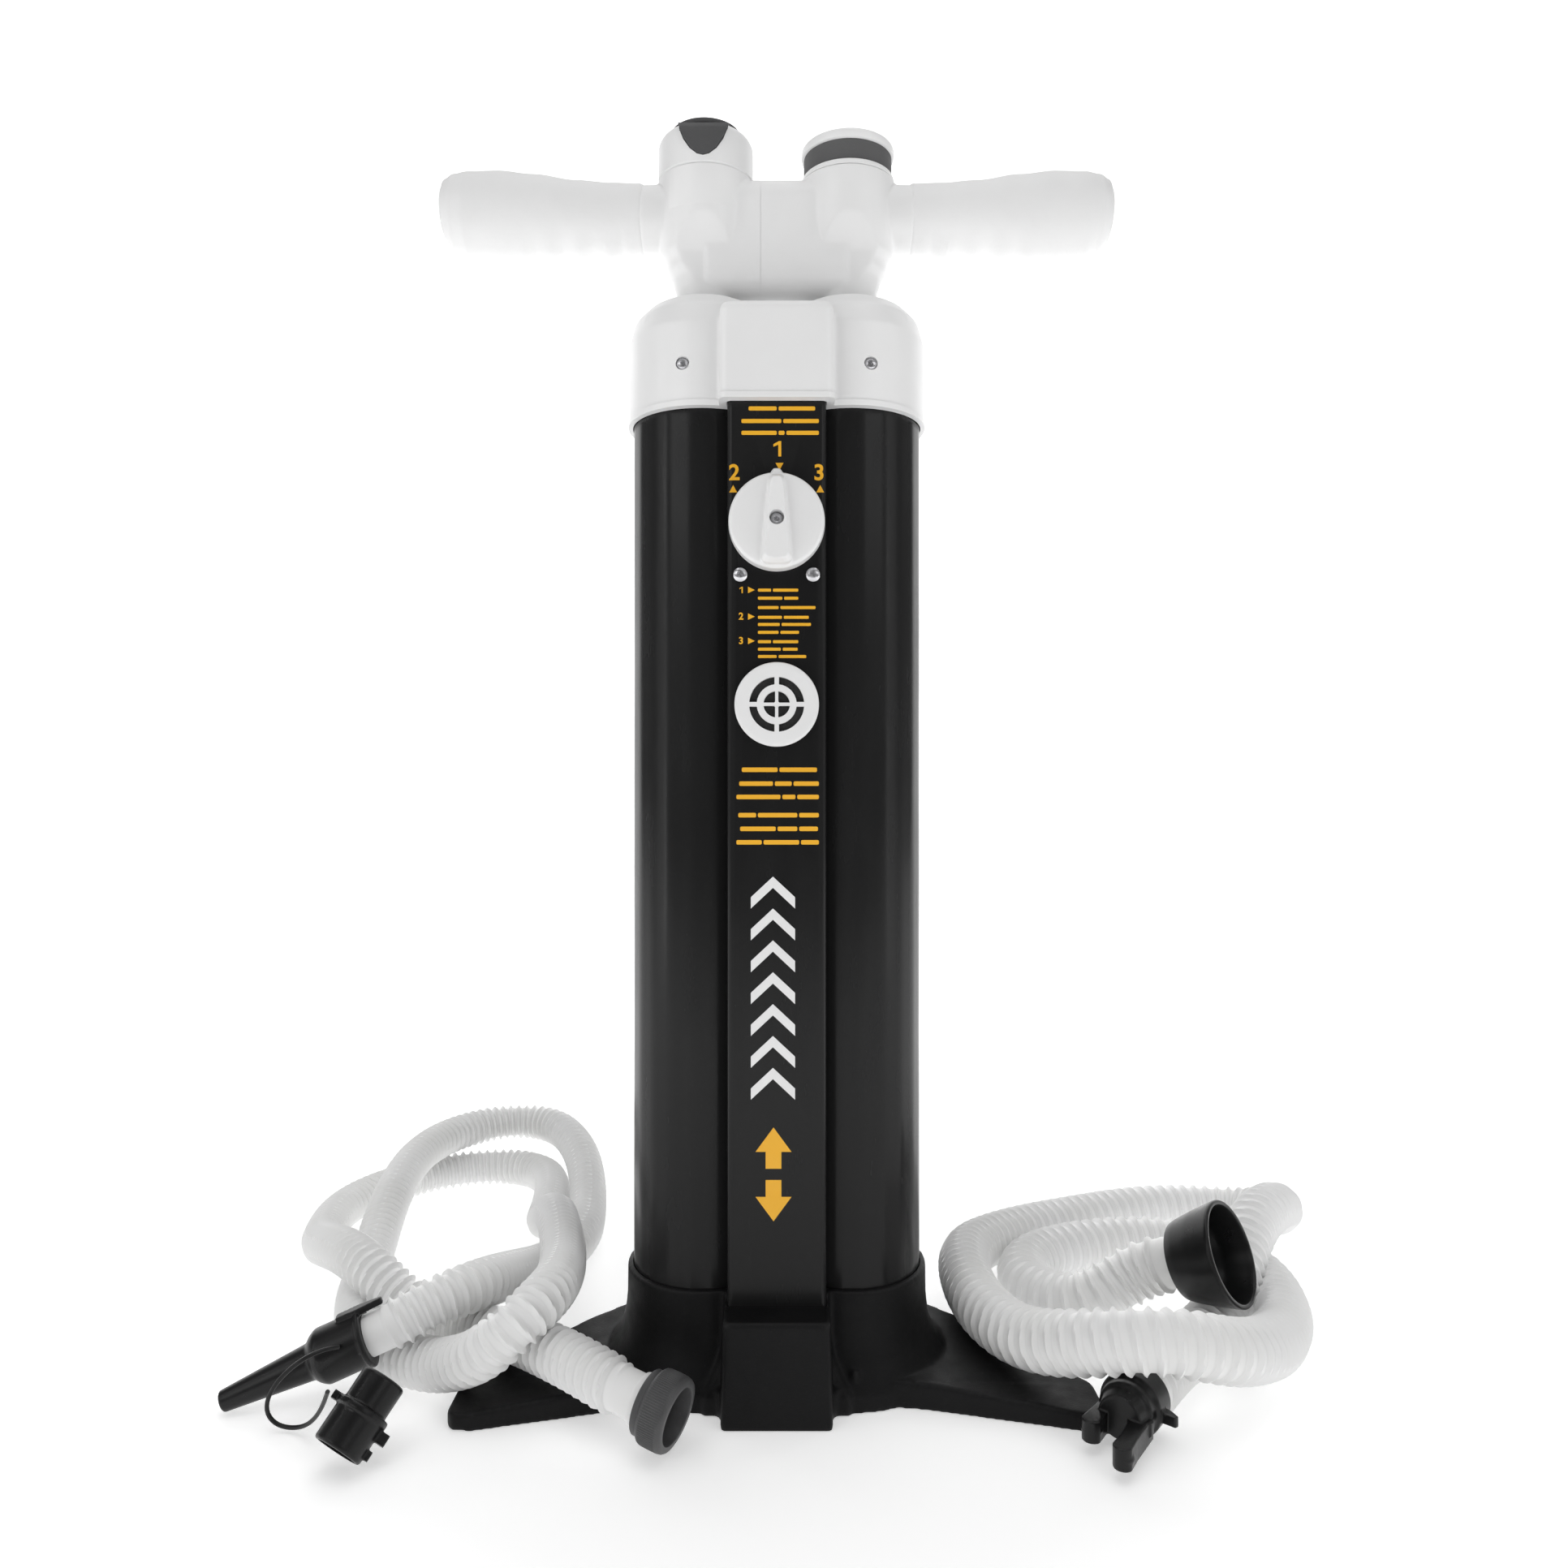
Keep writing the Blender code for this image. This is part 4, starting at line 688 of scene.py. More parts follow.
def make_handle(finishes):
    """One moulding, with a shield-shaped flat on the front and back of each hub."""
    hub = (
        (HANDLE_Z, 0.016), (0.616, 0.0166), (0.623, 0.0186), (0.631, 0.0222), (0.64, 0.0258), (0.65, 0.027),
        (0.655, 0.0275), (0.659, 0.0276), (0.664, HUB_R), (HUB_TOP_Z, HUB_R),
    )

    def flat(z):
        if z < 0.636:
            return 0.016 + 0.003 * max(0.0, (z - 0.612) / 0.024)
        return 0.019 + 0.0082 * (min(z, 0.655) - 0.636) / 0.019

    parts = []
    for side in (-1, 1):
        rings = []
        for i in range(49):
            z = HANDLE_Z + (HUB_TOP_Z - HANDLE_Z) * i / 48
            r = interpolate(hub, z)
            limit = flat(z) if z < 0.656 else 1.0
            ring = [(x, max(-limit, min(limit, y)), z) for x, y in ellipse(r, r, 96, (side * HUB_X, 0.0))]
            rings.append(ring)
        parts.append(loft(rings))
        neck = []
        for x in (0.05, GRIP_START_X - 0.0003):
            neck.append([(side * x, y, z) for y, z in ellipse(0.0178, 0.019, 64, (0.0, 0.6616))])
        parts.append(loft(neck))
    bar = []
    for x in (-0.04, 0.04):
        bar.append([(x, y, z) for y, z in rounded_box(0.0205, 0.0332, 0.014, 10, (0.0, 0.647))])
    parts.append(loft(bar))
    handle = moulded("handle_moulding", parts, 0.001, 7)
    seam = []
    for x, grow in ((-0.0093, 0.004), (-0.0093, -0.0003), (-0.0089, -0.0003), (-0.0089, 0.004)):
        outline = rounded_box(0.0205 + grow, 0.0332 + grow, 0.014 + grow, 10, (0.0, 0.647))
        seam.append([(x, y, z) for y, z in outline])
    tools = [loft(seam, closed=True)]
    for side in (-1, 1):
        tools.append(rod(ROD_R + 0.0003, 0.59, 0.6562, (side * BARREL_X, 0, 0)))
    tools.append(rod(0.0185, 0.656, 0.69, (-HUB_X, 0, 0)))
    cut(handle, tools)
    rim = [(0.0262, 0.657), (0.0276, 0.659), (0.0276, HUB_TOP_Z)]
    drum = rounded([(0.0, 0.657), *rim, (0.0, HUB_TOP_Z)], 0.0014)
    cut(handle, [turned(drum, (HUB_X, 0, 0), UP, 128)], "UNION")
    ring = [(0.0187, 0.657), *rim, (0.0187, HUB_TOP_Z)]
    cut(handle, [turned(ring, (-HUB_X, 0, 0), UP, 128, closed=True)], "UNION")
    cores = [rod(0.011, 0.06, 0.18, (0.0, 0.0, GRIP_AXIS_Z), (side, 0, 0)) for side in (-1, 1)]
    cut(handle, cores, "UNION")
    settle(handle, "plunger", finishes["white_plastic"], "handle")


def interpolate(table, x):
    for (x0, y0), (x1, y1) in zip(table, table[1:]):
        if x <= x1:
            t = max(0.0, (x - x0) / (x1 - x0))
            t = t * t * (3 - 2 * t)
            return y0 + (y1 - y0) * t
    return table[-1][1]


def make_grip(word, side, finishes):
    """An oval sleeve that swells towards its outer end, with finger waves below and a raised lower edge."""
    sections = (
        (GRIP_START_X, 0.643, 0.6815, 0.0178),
        (0.095, 0.6412, 0.682, 0.0182), (0.115, 0.6402, 0.6835, 0.0188),
        (0.14, 0.6396, 0.687, 0.0194), (0.16, 0.6398, 0.689, 0.0196), (0.178, 0.6408, 0.6886, 0.0194),
        (0.186, 0.6425, 0.6872, 0.0184), (0.191, 0.6465, 0.6845, 0.0162), (GRIP_END_X, 0.652, 0.6805, 0.013),
    )
    rings = []
    steps = 150
    start = GRIP_START_X - 0.0025
    for i in range(steps + 1):
        x = start + (GRIP_END_X - start) * i / steps
        tuck = 0.0012 * max(0.0, 1.0 - (x - start) / 0.002)
        low, high, half = (interpolate([(s[0], s[k]) for s in sections], x) for k in (1, 2, 3))
        middle = (low + high) / 2
        tall = (high - low) / 2 - tuck
        half -= tuck
        fade = min(1.0, max(0.0, (x - 0.083) / 0.006)) * min(1.0, max(0.0, (0.155 - x) / 0.01))
        wave = 0.0011 * fade * (0.5 + 0.5 * math.cos(math.tau * (x - 0.09) / 0.0165))
        edge = 0.644 + 0.0075 * max(0.0, min(1.0, (0.0986 - x) / 0.02))
        ring = []
        for k in range(64):
            a = math.tau * k / 64
            y, z = half * math.cos(a), middle + tall * math.sin(a)
            below = max(0.0, -math.sin(a))
            raised = 0.0005 * max(0.0, min(1.0, (edge - z) / 0.0006)) if x < 0.099 else 0.0
            z += wave * below * below - raised * below
            ring.append((side * x, y * (1 + raised * 20), z))
        rings.append(ring)
    grip = add_object(f"grip_sleeve_{word}", loft(rings))
    cut(grip, [rod(0.0113, 0.06, 0.1803, (0.0, 0.0, GRIP_AXIS_Z), (side, 0, 0))])
    settle(grip, "plunger", finishes["grip_white"], f"grip_{word}")


def notch_outline(inset):
    """The shield-shaped notch at the front of the port, seen from the front, in x and z."""
    right = [(0.0146, PORT_TOP_Z + 0.003), (0.0136, 0.702), (0.0112, 0.6955), (0.0076, 0.6898)]
    right.append((0.0034, 0.6862))
    points = right + [(0.0, 0.6853)] + [(-x, z) for x, z in reversed(right)]
    return [(x - math.copysign(inset, x) if x else 0.0, z + inset * 1.2) for x, z in points]


def make_port(finishes):
    low = 0.6565
    z0 = HUB_TOP_Z + 0.0003
    profile = [(0.0148, low), (0.0181, low), (0.0181, z0), (HUB_R - 0.0012, z0), (HUB_R, z0 + 0.0012)]
    profile += arc(HUB_R - 0.008, PORT_TOP_Z - 0.008, 0.008, 0, 90, 14)
    profile += [(0.0148, PORT_TOP_Z)]
    collar = add_object("port_tower", turned(profile, (-HUB_X, 0, 0), UP, 128, closed=True))
    cut(collar, [loft([[(-HUB_X + x, y, z) for x, z in notch_outline(0.0)] for y in (-0.04, -0.01)])])
    settle(collar, "plunger", finishes["white_plastic"], "port_collar")
    profile = [
        (0.0, 0.686), (0.0138, 0.686), (0.0144, 0.6875), (0.0144, PORT_TOP_Z + 0.0003),
        (0.0204, PORT_TOP_Z + 0.0003), (0.0204, 0.7104), (0.019, 0.7112), (0.0, 0.7116),
    ]
    plug = turned(rounded(profile, 0.0008), (-HUB_X, 0, 0), UP, 96)
    rings = []
    tops = ((-0.0273, 0.6993), (-0.0267, 0.7018), (-0.025, 0.7048), (-0.0195, 0.7075), (-0.011, 0.7098))
    for y, top in tops:
        rings.append([(-HUB_X + x, y, min(z, top)) for x, z in notch_outline(0.0003)])
    plug = moulded("port_bung", [plug, loft(rings)], 0.00035, 2)
    settle(plug, "plug", finishes["grey_rubber"], "port_plug")


def make_gauge(finishes):
    centre = Vector((HUB_X, 0.0, 0.0))
    low = HUB_TOP_Z + 0.0003
    seat = rounded([(0.0, low), (0.027, low), (0.0268, 0.683), (0.0262, 0.6845), (0.0, 0.6845)], 0.0006)
    cup = [(0.0, 0.6848), (0.0252, 0.6848), (0.0254, 0.6852), (0.0254, 0.6958), (0.0215, 0.6958)]
    cup += [(0.0215, 0.688), (0.0, 0.688)]
    bezel = [(0.02, 0.6961), (0.0258, 0.6961), (0.0266, 0.6965), (0.0268, 0.6972)]
    bezel += arc(0.0243, 0.6995, 0.0025, 0, 90, 10)
    bezel += [(0.0212, 0.702), (0.0206, 0.7014), (0.0206, 0.6976), (0.02, 0.6976)]
    face = [(0.0, 0.6883), (0.0211, 0.6883), (0.0211, 0.6893), (0.0, 0.6893)]
    for name, node, profile, sides, finish in (
        ("gauge_shelf", "gauge_seat", seat, 128, "white_plastic"),
        ("gauge_band", "gauge_cup", cup, 128, "grey_rubber"),
        ("gauge_ring", "gauge_bezel", bezel, 128, "white_plastic"),
        ("gauge_plate", "gauge_face", face, 96, "white_plastic"),
    ):
        piece = add_object(name, turned(profile, centre, UP, sides, closed=profile is bezel))
        settle(piece, "plunger", finishes[finish], node)
    ticks = []
    for i in range(28):
        a = math.radians(225 - 10 * i)
        inner = 0.015 if i % 3 == 0 else 0.0168
        along, across = Vector((math.cos(a), math.sin(a), 0.0)), Vector((-math.sin(a), math.cos(a), 0.0))
        corners = [(inner, 1), (0.0186, 1), (0.0186, -1), (inner, -1)]
        flat = [centre + along * r + across * (0.00028 * s) for r, s in corners]
        ticks.append(loft([[p + UP * z for p in flat] for z in (0.6891, 0.68938)]))
    marks = add_object("gauge_ticks", joined(ticks))
    settle(marks, "plunger", finishes["print_black"])
    for i in range(0, 28, 9):
        a = math.radians(225 - 10 * i)
        at = centre + Vector((math.cos(a), math.sin(a), 0.0)) * 0.0118 + UP * 0.68925
        count = i // 9
        digits(f"gauge_number_{count}", str(count * 10), 0.004, at, UP, "plunger", finishes["print_black"])
    blade = [(-0.017, 0.0), (-0.015, -0.0006), (0.0044, -0.0012), (0.005, 0.0), (0.0044, 0.0012)]
    blade = prism(blade + [(-0.015, 0.0006)], 0.69, 0.6907)
    blade.transform(Matrix.Translation(centre) @ Matrix.Rotation(math.radians(45), 4, "Z"))
    boss = [(0.0, 0.6896), (0.0024, 0.6896), (0.0024, 0.6909), (0.0018, 0.6913), (0.0, 0.6914)]
    needle = add_object("gauge_pointer", turned(boss, centre, UP, 48))
    cut(needle, [blade], "UNION")
    settle(needle, "needle", finishes["print_black"], "gauge_needle")
    lens = [(0.0, 0.6979), (0.02, 0.6979), (0.0203, 0.6982), (0.0203, 0.699), (0.019, 0.6995), (0.0, 0.7)]
    lens = add_object("gauge_window", turned(lens, centre, UP, 128))
    settle(lens, "plunger", finishes["clear_lens"], "gauge_lens")


def make_rods(finishes):
    for word, side in (("left", -1), ("right", 1)):
        profile = [(ROD_R - 0.002, 0.031), (ROD_R - 0.0004, 0.031), (ROD_R, 0.0316), (ROD_R, 0.6555)]
        profile += [(ROD_R - 0.002, 0.6555)]
        tube = add_object(f"rod_tube_{word}", turned(profile, (side * BARREL_X, 0, 0), UP, 64, closed=True))
        settle(tube, "plunger", finishes["steel"], f"piston_rod_{word}")


# Print on the panel


def digits(name, text, height, at, way, body, mat):
    """Numbers as thin raised print, facing way."""
    data = bpy.data.curves.new(name, "FONT")
    data.body = text
    data.size = height / 0.7
    data.align_x = "CENTER"
    data.align_y = "CENTER"
    data.offset = height * 0.035
    data.extrude = 0.00004
    obj = bpy.data.objects.new(name, data)
    bpy.context.scene.collection.objects.link(obj)
    graph = bpy.context.evaluated_depsgraph_get()
    mesh = bpy.data.meshes.new_from_object(obj.evaluated_get(graph))
    bpy.data.objects.remove(obj, do_unlink=True)
    if way == FRONT:
        mesh.transform(Matrix.Rotation(math.radians(90.0), 4, "X"))
    mesh.transform(Matrix.Translation(at))
    made = bpy.data.objects.new(name, mesh)
    bpy.context.scene.collection.objects.link(made)
    return settle(made, body, mat)


def print_on(outline, x, z):
    """A thin raised patch on the panel, from an outline about (x, z)."""
    outline = [(x + dx, dz) for dx, dz in outline]
    return on_front(outline, z, -PANEL_Y + PRINT_DEPTH, -PANEL_Y - PRINT_DEPTH)


def bars(rows):
    """Plain dashes where the real panel has lines of words."""
    patches = []
    for z, height, stops in rows:
        for x0, stop in zip(stops, stops[1:]):
            x1 = stop - DASH_GAP
            outline = rounded_box((x1 - x0) / 2, height / 2, height * 0.3, 4)
            patches.append(print_on(outline, (x0 + x1) / 2, z))
    return patches


def make_prints(finishes):
    """Triangles, numbers, dashes and two arrows in yellow, and a column of chevrons in white."""
    yellow = []
    up = [(-0.0021, -0.0019), (0.0021, -0.0019), (0.0, 0.0021)]
    yellow.append(print_on([(x, -z) for x, z in up], 0.0015, 0.5038))
    yellow.append(print_on(up, -0.0232, 0.4918))
    yellow.append(print_on(up, 0.0232, 0.4918))
    right = [(-0.0017, -0.0017), (0.0019, 0.0), (-0.0017, 0.0017)]
    for z in STEP_ROWS_Z:
        yellow.append(print_on(right, -0.0136, z))
    yellow += bars(PRINT_ROWS)
    one = [(0.08, -0.5), (0.27, -0.5), (0.27, 0.5), (0.12, 0.5), (-0.24, 0.3), (-0.24, 0.13), (0.08, 0.27)]
    for height, x, z in ((0.0082, 0.0002, 0.5132), (0.0034, STEP_NUMBER_X, STEP_ROWS_Z[0])):
        yellow.append(print_on([(dx * height, dz * height) for dx, dz in one], x, z))
    arrow = [(0.0042, 0.003), (0.0042, 0.012), (0.0096, 0.012), (0.0, 0.025), (-0.0096, 0.012)]
    arrow += [(-0.0042, 0.012), (-0.0042, 0.003)]
    yellow.append(print_on(arrow, *ARROWS_AT))
    yellow.append(print_on([(x, -z) for x, z in arrow], *ARROWS_AT))
    marks = add_object("panel_marks", joined(yellow))
    settle(marks, "pump_body", finishes["print_yellow"])
    chevron = [(-0.0118, -0.0045), (0.0, 0.0065), (0.0118, -0.0045), (0.0118, 0.0015), (0.0, 0.0125)]
    chevron += [(-0.0118, 0.0015)]
    white = [print_on(chevron, -0.002, 0.1705 + CHEVRON_PITCH * i) for i in range(CHEVRONS)]
    stripe = add_object("panel_stripe", joined(white))
    settle(stripe, "pump_body", finishes["print_white"])
    for name, text, height, x, z in (
        ("two", "2", 0.0082, -0.0226, 0.5002),
        ("three", "3", 0.0082, 0.0226, 0.5002),
        ("row_two", "2", 0.0036, STEP_NUMBER_X, STEP_ROWS_Z[1]),
        ("row_three", "3", 0.0036, STEP_NUMBER_X, STEP_ROWS_Z[2]),
    ):
        at = (x, -PANEL_Y, z)
        digits(f"panel_number_{name}", text, height, at, FRONT, "pump_body", finishes["print_yellow"])


# Hoses and what is on them


def hose_line(route, step):
    """Points step apart on the same cubic B-spline that the part's hoses follow."""
    points = [Vector(p) for p in route]
    points.insert(0, points[0] * 2 - points[1])
    points.append(points[-1] * 2 - points[-2])
    curve = []
    for a, b, c, d in zip(points, points[1:], points[2:], points[3:]):
        for i in range(16):
            t = i / 16
            s = 1 - t
            near, far = 3 * t**3 - 6 * t**2 + 4, 3 * s**3 - 6 * s**2 + 4
            curve.append((a * s**3 + b * near + c * far + d * t**3) / 6)
    curve.append(points[-2])
    lengths = [0.0]
    for p, q in zip(curve, curve[1:]):
        lengths.append(lengths[-1] + (q - p).length)
    count = round(lengths[-1] / step)
    even = []
    at = 0
    for i in range(count + 1):
        goal = lengths[-1] * i / count
        while at < len(curve) - 2 and lengths[at + 1] < goal:
            at += 1
        share = (goal - lengths[at]) / (lengths[at + 1] - lengths[at])
        even.append(curve[at].lerp(curve[at + 1], share))
    return even, lengths[-1]


def tube(name, line, radius_at, sides):
    """A closed tube along a line of points, its radius given by radius_at(index, turn)."""
    side = (line[1] - line[0]).cross(UP).normalized()
    rings = []
    for i, point in enumerate(line):
        way = (line[min(i + 1, len(line) - 1)] - line[max(i - 1, 0)]).normalized()
        side = (side - way * side.dot(way)).normalized()
        other = way.cross(side)
        ring = []
        for k in range(sides):
            a = math.tau * k / sides
            ring.append(point + (side * math.cos(a) + other * math.sin(a)) * radius_at(i, k / sides))
        rings.append(ring)
    return add_object(name, loft(rings))


def make_ribbed_hose(name, route, crest, rib, pitch, width, sides, plain):
    """A hose with a helical rib, plain for a short length at each end."""
    line, length = hose_line(route, pitch / 8)
    last = len(line) - 1
    step = length / last

    def radius_at(i, turn):
        turns = i * step / pitch - turn
        off = (turns - round(turns)) * pitch
        ends = min(1.0, max(0.0, (min(i, last - i) * step - plain) / 0.004))
        return crest - rib + rib * ends * math.exp(-((off / width) ** 2))

    return tube(name, line, radius_at, sides), [tuple(p) for p in line]


def end_of(route, first):
    """Where a hose ends, and the way that end points, out of the hose."""
    end, before = (route[0], route[1]) if first else (route[-1], route[-2])
    return Vector(end), (Vector(end) - Vector(before)).normalized()


def fitting_frame(end, way):
    """A frame at end with its X axis along way, and its Y axis level and to the left of that."""
    side = UP.cross(way).normalized()
    matrix = Matrix((way, side, way.cross(side))).transposed().to_4x4()
    matrix.translation = end
    return matrix


def prism_on(matrix, outline, low, high):
    bm = prism(outline, low, high)
    bm.transform(matrix)
    return bm


def block(matrix, along, across, up):
    outline = [(along[0], across[0]), (along[1], across[0]), (along[1], across[1]), (along[0], across[1])]
    bm = prism(outline, *up)
    bm.transform(matrix)
    return bm


def make_small_hose(finishes):
    white, black = finishes["hose_white"], finishes["fitting_black"]
    hose, path = make_ribbed_hose(
        "small_hose", SMALL_HOSE_ROUTE, SMALL_HOSE_R + 0.0009, 0.0027, 0.0063, 0.001, 30, 0.01
    )
    settle(hose, "small_hose", white, "small_hose_tube")
    end, way = end_of(SMALL_HOSE_ROUTE, first=True)
    profile = [(0.0, 0.0003), (0.0128, 0.0003), (0.0128, 0.004), (0.009, 0.004), (0.009, 0.014), (0.0, 0.014)]
    cuff = add_object("small_hose_sleeve", turned(rounded(profile, 0.0006), end, way, 64))
    settle(cuff, "small_hose", white, "small_hose_cuff")
    nut = make_nut(end, way)
    settle(nut, "small_nut", finishes["nut_grey"], "small_hose_nut")
    nozzle = make_nozzle(black)
    make_valve_fitting(black)

    line, _ = hose_line(TETHER_ROUTE, 0.002)
    tether = tube("tether_cord", line, lambda i, turn: TETHER_R, 12)
    settle(tether, "small_hose", black, "tether")
    path = [tuple(p) for p in line]


def make_nozzle(mat):
    """A cup on the hose's end that narrows to a bored nozzle, with a lug and a bead at its mouth."""
    end, _ = end_of(SMALL_HOSE_ROUTE, first=False)
    way = (NOZZLE_TIP - end).normalized()
    reach = (NOZZLE_TIP - end).length
    profile = [
        (0.0, 0.0006), (0.0143, 0.0006), (0.015, 0.002), (0.015, 0.025), (0.0128, 0.0285), (0.0098, 0.0312),
        (0.0056, reach), (0.0, reach),
    ]
    lug = [(-0.013, -0.0016), (-0.013, 0.0016), (0.0, 0.0036), (0.012, 0.003), (0.012, -0.003)]
    lug.append((0.0, -0.0036))
    bead = [(0.015, 0.0002), (0.0162, 0.0006), (0.0162, 0.0024), (0.015, 0.003), (0.0, 0.003), (0.0, 0.0002)]
    nozzle = moulded("nozzle_fitting", [
        turned(rounded(profile, 0.0012), end, way, 64),
        prism_on(fitting_frame(end, way), lug, 0.0136, 0.0172),
        turned(bead, end, way, 64, closed=True),
    ], 0.0006, 3)
    cut(nozzle, [rod(0.0034, -0.012, 0.002, NOZZLE_TIP, way, 32)])
    settle(nozzle, "small_hose", mat, "nozzle_adapter")
    return nozzle


def make_valve_fitting(mat):
    """The spare adapter: two barrels in line, a bore, two lugs and a tab for the tether."""
    start, way = VALVE_ADAPTER_REAR, VALVE_ADAPTER_WAY
    matrix = fitting_frame(start, way) @ Matrix.Rotation(math.radians(-45.0), 4, "X")
    profile = [
        (0.0, 0.0), (0.0108, 0.0), (0.0118, 0.001), (0.0116, 0.015), (0.012, 0.0155), (0.0141, 0.0158),
        (0.0142, 0.0188), (0.0131, 0.0196), (0.013, 0.0355), (0.0124, 0.0365), (0.0, 0.0365),
    ]
    valve = moulded("valve_fitting", [
        turned(rounded(profile, 0.0006), start, way, 64),
        block(matrix, (0.0195, 0.025), (0.011, 0.0182), (-0.003, 0.003)),
        block(matrix, (0.029, 0.0335), (0.011, 0.0154), (-0.003, 0.003)),
        block(matrix, (0.0155, 0.0195), (-0.0172, -0.012), (-0.003, 0.003)),
    ], 0.0005, 2)
    cut(valve, [rod(0.0106, 0.018, 0.05, start, way)])
    settle(valve, "small_hose", mat, "valve_adapter")


def make_nut(end, way):
    """A round nut with fine ridges all round its grip."""
    rings = []
    profile = (
        (0.0156, 0.0043), (0.016, 0.0048), (0.016, 0.0078), (0.0172, 0.0084), (0.018, 0.0092),
        (0.0184, 0.0102), (0.0185, 0.0108), (0.0186, 0.015), (0.0185, 0.0194), (0.0184, 0.02),
        (0.0181, 0.0214), (0.0174, 0.0224), (0.0162, 0.0228), (0.0142, 0.0228), (0.0138, 0.0222),
        (0.0138, 0.012), (0.0093, 0.012), (0.0093, 0.0043),
    )
    count = 480
    for r, h in profile:
        depth = NUT_RIDGE if r >= 0.0185 else 0.0
        ring = []
        for k in range(count):
            a = math.tau * k / count
            dip = depth * (0.5 - 0.5 * math.cos(a * NUT_RIDGES))
            ring.append(((r - dip) * math.cos(a), (r - dip) * math.sin(a), h))
        rings.append(ring)
    bm = loft(rings, closed=True)
    turn = UP.rotation_difference(way).to_matrix().to_4x4()
    bm.transform(Matrix.Translation(end) @ turn)
    return add_object("small_hose_union", bm)


def make_large_hose(finishes):
    white, black = finishes["hose_white"], finishes["fitting_black"]
    hose, path = make_ribbed_hose(
        "large_hose", LARGE_HOSE_ROUTE, LARGE_HOSE_R + 0.0007, 0.0024, 0.0082, 0.0012, 36, 0.006
    )
    settle(hose, "large_hose", white, "large_hose_tube")
    end, way = end_of(LARGE_HOSE_ROUTE, first=True)
    profile = [
        (0.0, 0.0008), (0.0185, 0.0008), (0.0214, 0.0016), (0.0232, 0.006), (0.0262, 0.0165),
        (0.0286, 0.027), (0.0296, 0.031), (0.0296, 0.0324), (0.029, 0.0331), (0.027, 0.0331),
        (0.0262, 0.029), (0.0232, 0.0165), (0.0205, 0.011), (0.0, 0.011),
    ]
    collar = add_object("large_hose_cup", turned(rounded(profile, 0.0016), end, way, 128))
    settle(collar, "large_hose", black, "large_hose_collar")

    end, way = end_of(LARGE_HOSE_ROUTE, first=False)
    matrix = fitting_frame(end, way)
    profile = [
        (0.0, 0.0003), (0.0158, 0.0003), (0.0163, 0.0012), (0.0162, 0.015), (0.0142, 0.017), (0.0142, 0.0215),
        (0.0124, 0.023), (0.011, 0.03), (0.0, 0.03),
    ]
    parts = [turned(rounded(profile, 0.001), end, way, 64)]
    bulb = [(0.0, -0.0048), (0.004, -0.0042), (0.0054, 0.0), (0.004, 0.0042), (0.0, 0.0048)]
    for side, tip in ((1, 0.0575), (-1, 0.044)):
        outline = [(0.018, 0.001), (0.028, 0.0046), (tip - 0.014, 0.0062)]
        outline += arc(tip - 0.005, 0.0106, 0.005, -75, 75, 12) + [(tip - 0.014, 0.0146), (0.02, 0.014)]
        prong = prism([(x, side * y) for x, y in outline], -0.01, 0.0012)
        prong.transform(matrix)
        parts.append(prong)
        knob = turned(bulb, (0, 0, 0), UP, 32)
        knob.transform(matrix @ Matrix.Translation((tip - 0.0054, side * 0.0108, -0.0048)))
        parts.append(knob)
    tab = [(0.007, 0.012), (0.009, 0.019), (0.0125, 0.024), (0.015, 0.0232), (0.014, 0.012)]
    parts.append(prism_on(matrix, tab, -0.004, 0.0014))
    parts.append(block(matrix, (0.023, 0.0268), (0.008, 0.0152), (-0.006, 0.001)))
    bayonet = moulded("bayonet_fitting", parts, 0.0005, 4)
    settle(bayonet, "large_hose", black, "bayonet_adapter")


# Inside, floor and light


def dress_inside(finishes):
    """The CAD nodes that stay visible keep their shapes and get detailed finishes."""
    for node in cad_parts.values():
        slot = node.data.materials[0].name.split(".")[0] if node.data.materials else "inner_grey"
        mat = finishes.get(slot, finishes["inner_grey"])
        node.data.materials.clear()
        node.data.materials.append(mat)


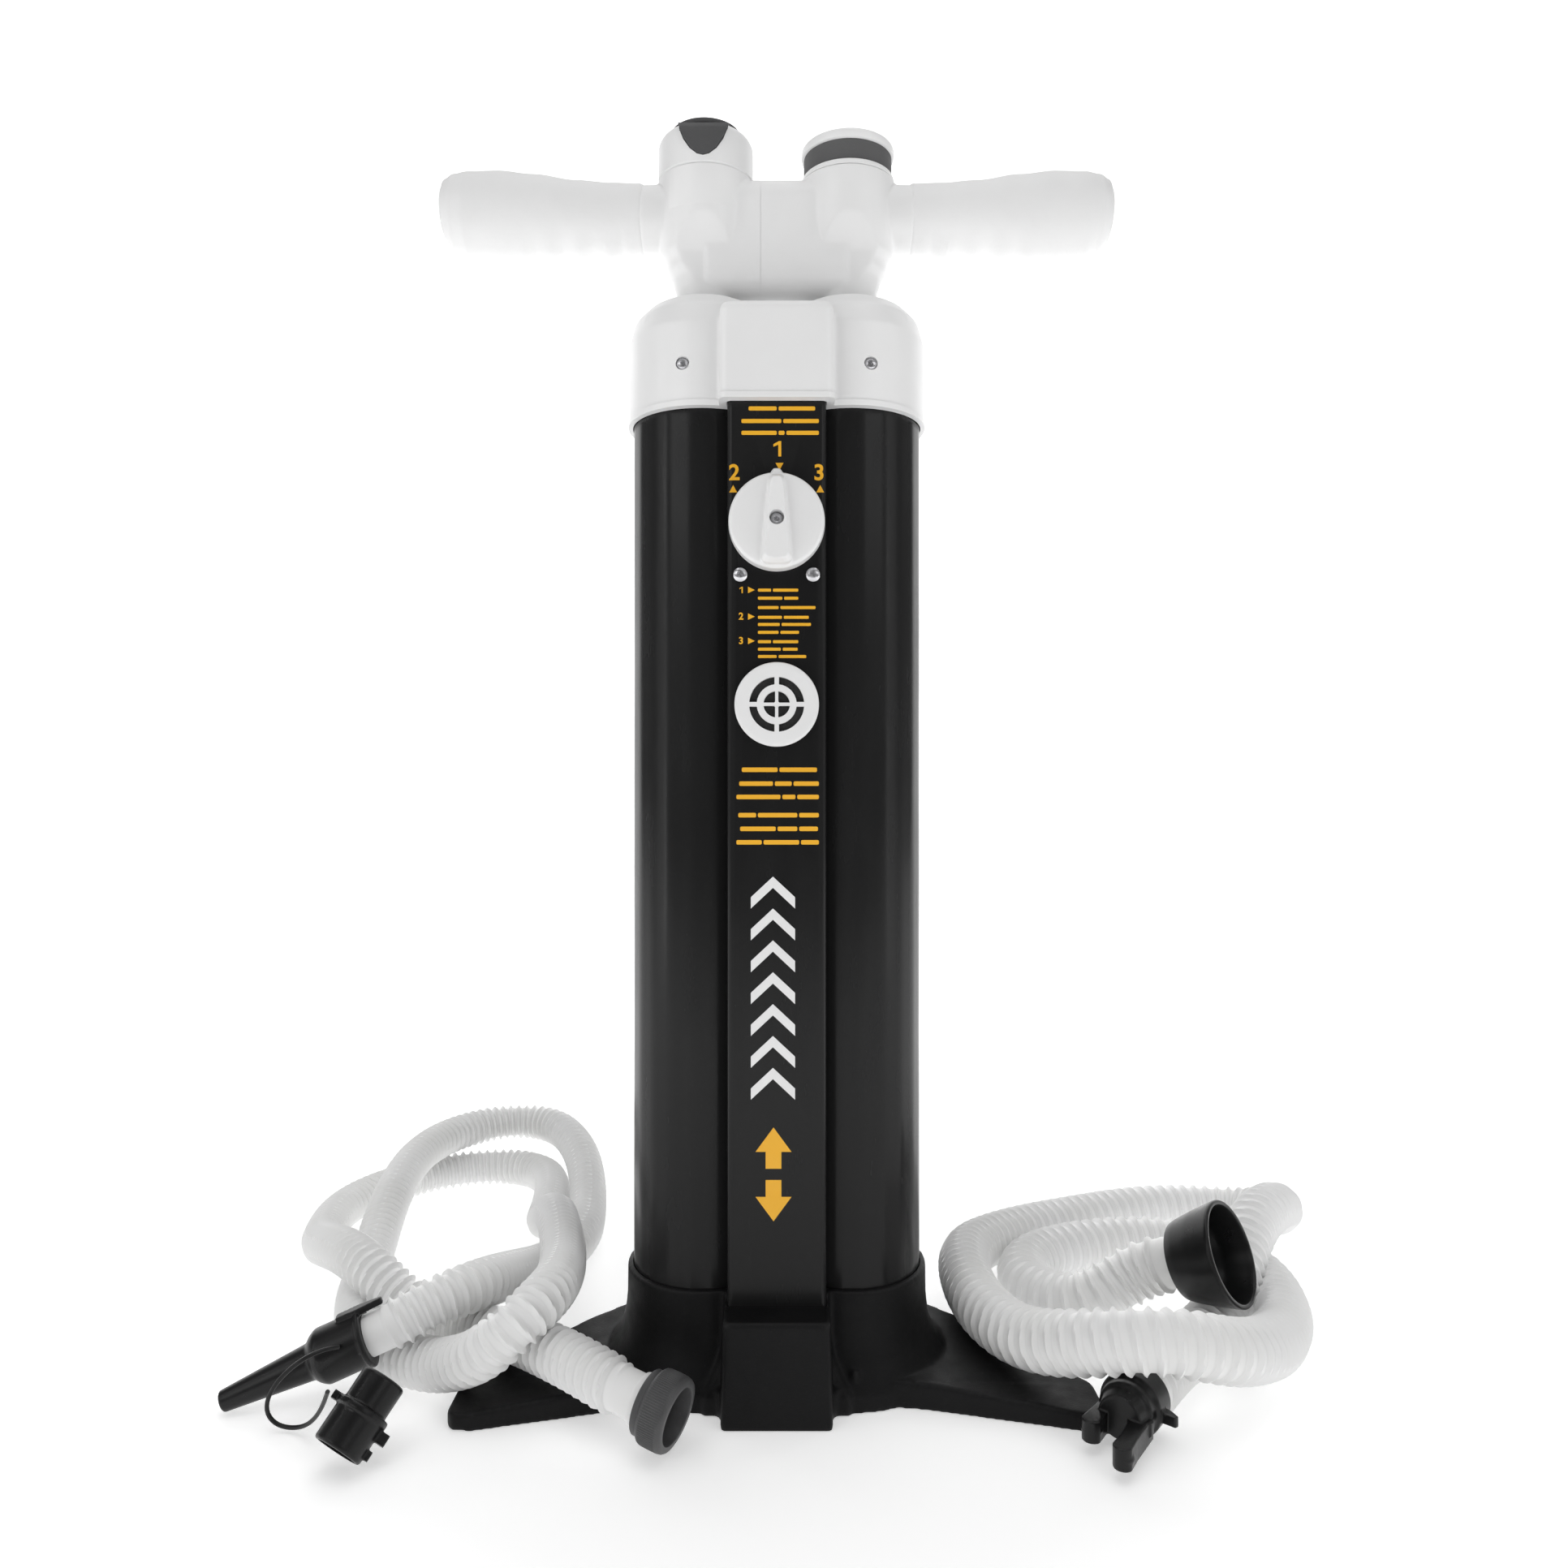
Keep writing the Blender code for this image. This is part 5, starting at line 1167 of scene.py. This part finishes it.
def make_stage():
    """A pale sweep that glows more away from the pump: it stays white and still takes soft shadows."""
    mat = bpy.data.materials.new("floor")
    mat.use_nodes = True
    nodes = mat.node_tree.nodes
    shader = nodes["Principled BSDF"]
    shader.inputs["Base Color"].default_value = (0.8, 0.8, 0.8, 1.0)
    shader.inputs["Roughness"].default_value = 0.9
    shader.inputs["Specular IOR Level"].default_value = 0.1
    shader.inputs["Emission Color"].default_value = (1.0, 1.0, 1.0, 1.0)
    where = nodes.new("ShaderNodeTexCoord")
    distance = nodes.new("ShaderNodeVectorMath")
    distance.operation = "LENGTH"
    link(mat, where.outputs["Object"], distance.inputs[0])
    glow = add_range(mat, distance.outputs["Value"], 0.2, 0.85, 0.42, 1.0)
    link(mat, glow, shader.inputs["Emission Strength"])
    profile = [(-1.6, 0.0), (1.6, 0.0)] + arc(1.6, 1.0, 1.0, -90, 0, 16)[1:] + [(2.6, 4.0)]
    bm = bmesh.new()
    rows = [[bm.verts.new((x, y, z)) for y, z in profile] for x in (-4.0, 4.0)]
    for i in range(len(profile) - 1):
        bm.faces.new((rows[0][i], rows[1][i], rows[1][i + 1], rows[0][i + 1]))
    floor = add_object("studio_floor", bm)
    floor.location.z = -0.0002
    floor.data.materials.append(mat)


def area_light(name, at, aim, size, power):
    data = bpy.data.lights.new(name, "AREA")
    data.shape = "RECTANGLE"
    data.size, data.size_y = size
    data.energy = power
    light = bpy.data.objects.new(name, data)
    light.location = at
    light.rotation_euler = (Vector(aim) - Vector(at)).to_track_quat("-Z", "Y").to_euler()
    bpy.context.scene.collection.objects.link(light)


def make_light():
    world = bpy.data.worlds.new("studio")
    world.use_nodes = True
    world.node_tree.nodes["Background"].inputs["Color"].default_value = (1.0, 1.0, 1.0, 1.0)
    world.node_tree.nodes["Background"].inputs["Strength"].default_value = 0.2
    bpy.context.scene.world = world
    middle = (0.0, 0.0, 0.35)
    area_light("overhead", (0.0, -0.1, 2.4), middle, (2.2, 2.2), 20.0)
    area_light("front left", (-1.6, -1.9, 1.5), middle, (1.2, 1.2), 9.5)
    area_light("front right", (1.6, -1.9, 1.5), middle, (1.2, 1.2), 7.0)
    area_light("left strip", (-1.5, -0.55, 0.6), middle, (0.12, 1.9), 3.0)
    area_light("right strip", (1.5, -0.55, 0.6), middle, (0.12, 1.9), 2.5)
    bpy.context.scene.view_settings.view_transform = "Standard"


def main():
    make_camera()
    finishes = make_finishes()
    make_small_hose(finishes)
    make_large_hose(finishes)
    make_casing(finishes)
    make_base(finishes)
    make_cap(finishes)
    make_screws(finishes)
    make_dial(finishes)
    make_vent(finishes)
    make_handle(finishes)
    make_grip("left", -1, finishes)
    make_grip("right", 1, finishes)
    make_port(finishes)
    make_gauge(finishes)
    make_rods(finishes)
    make_prints(finishes)
    dress_inside(finishes)
    make_stage()
    make_light()


main()
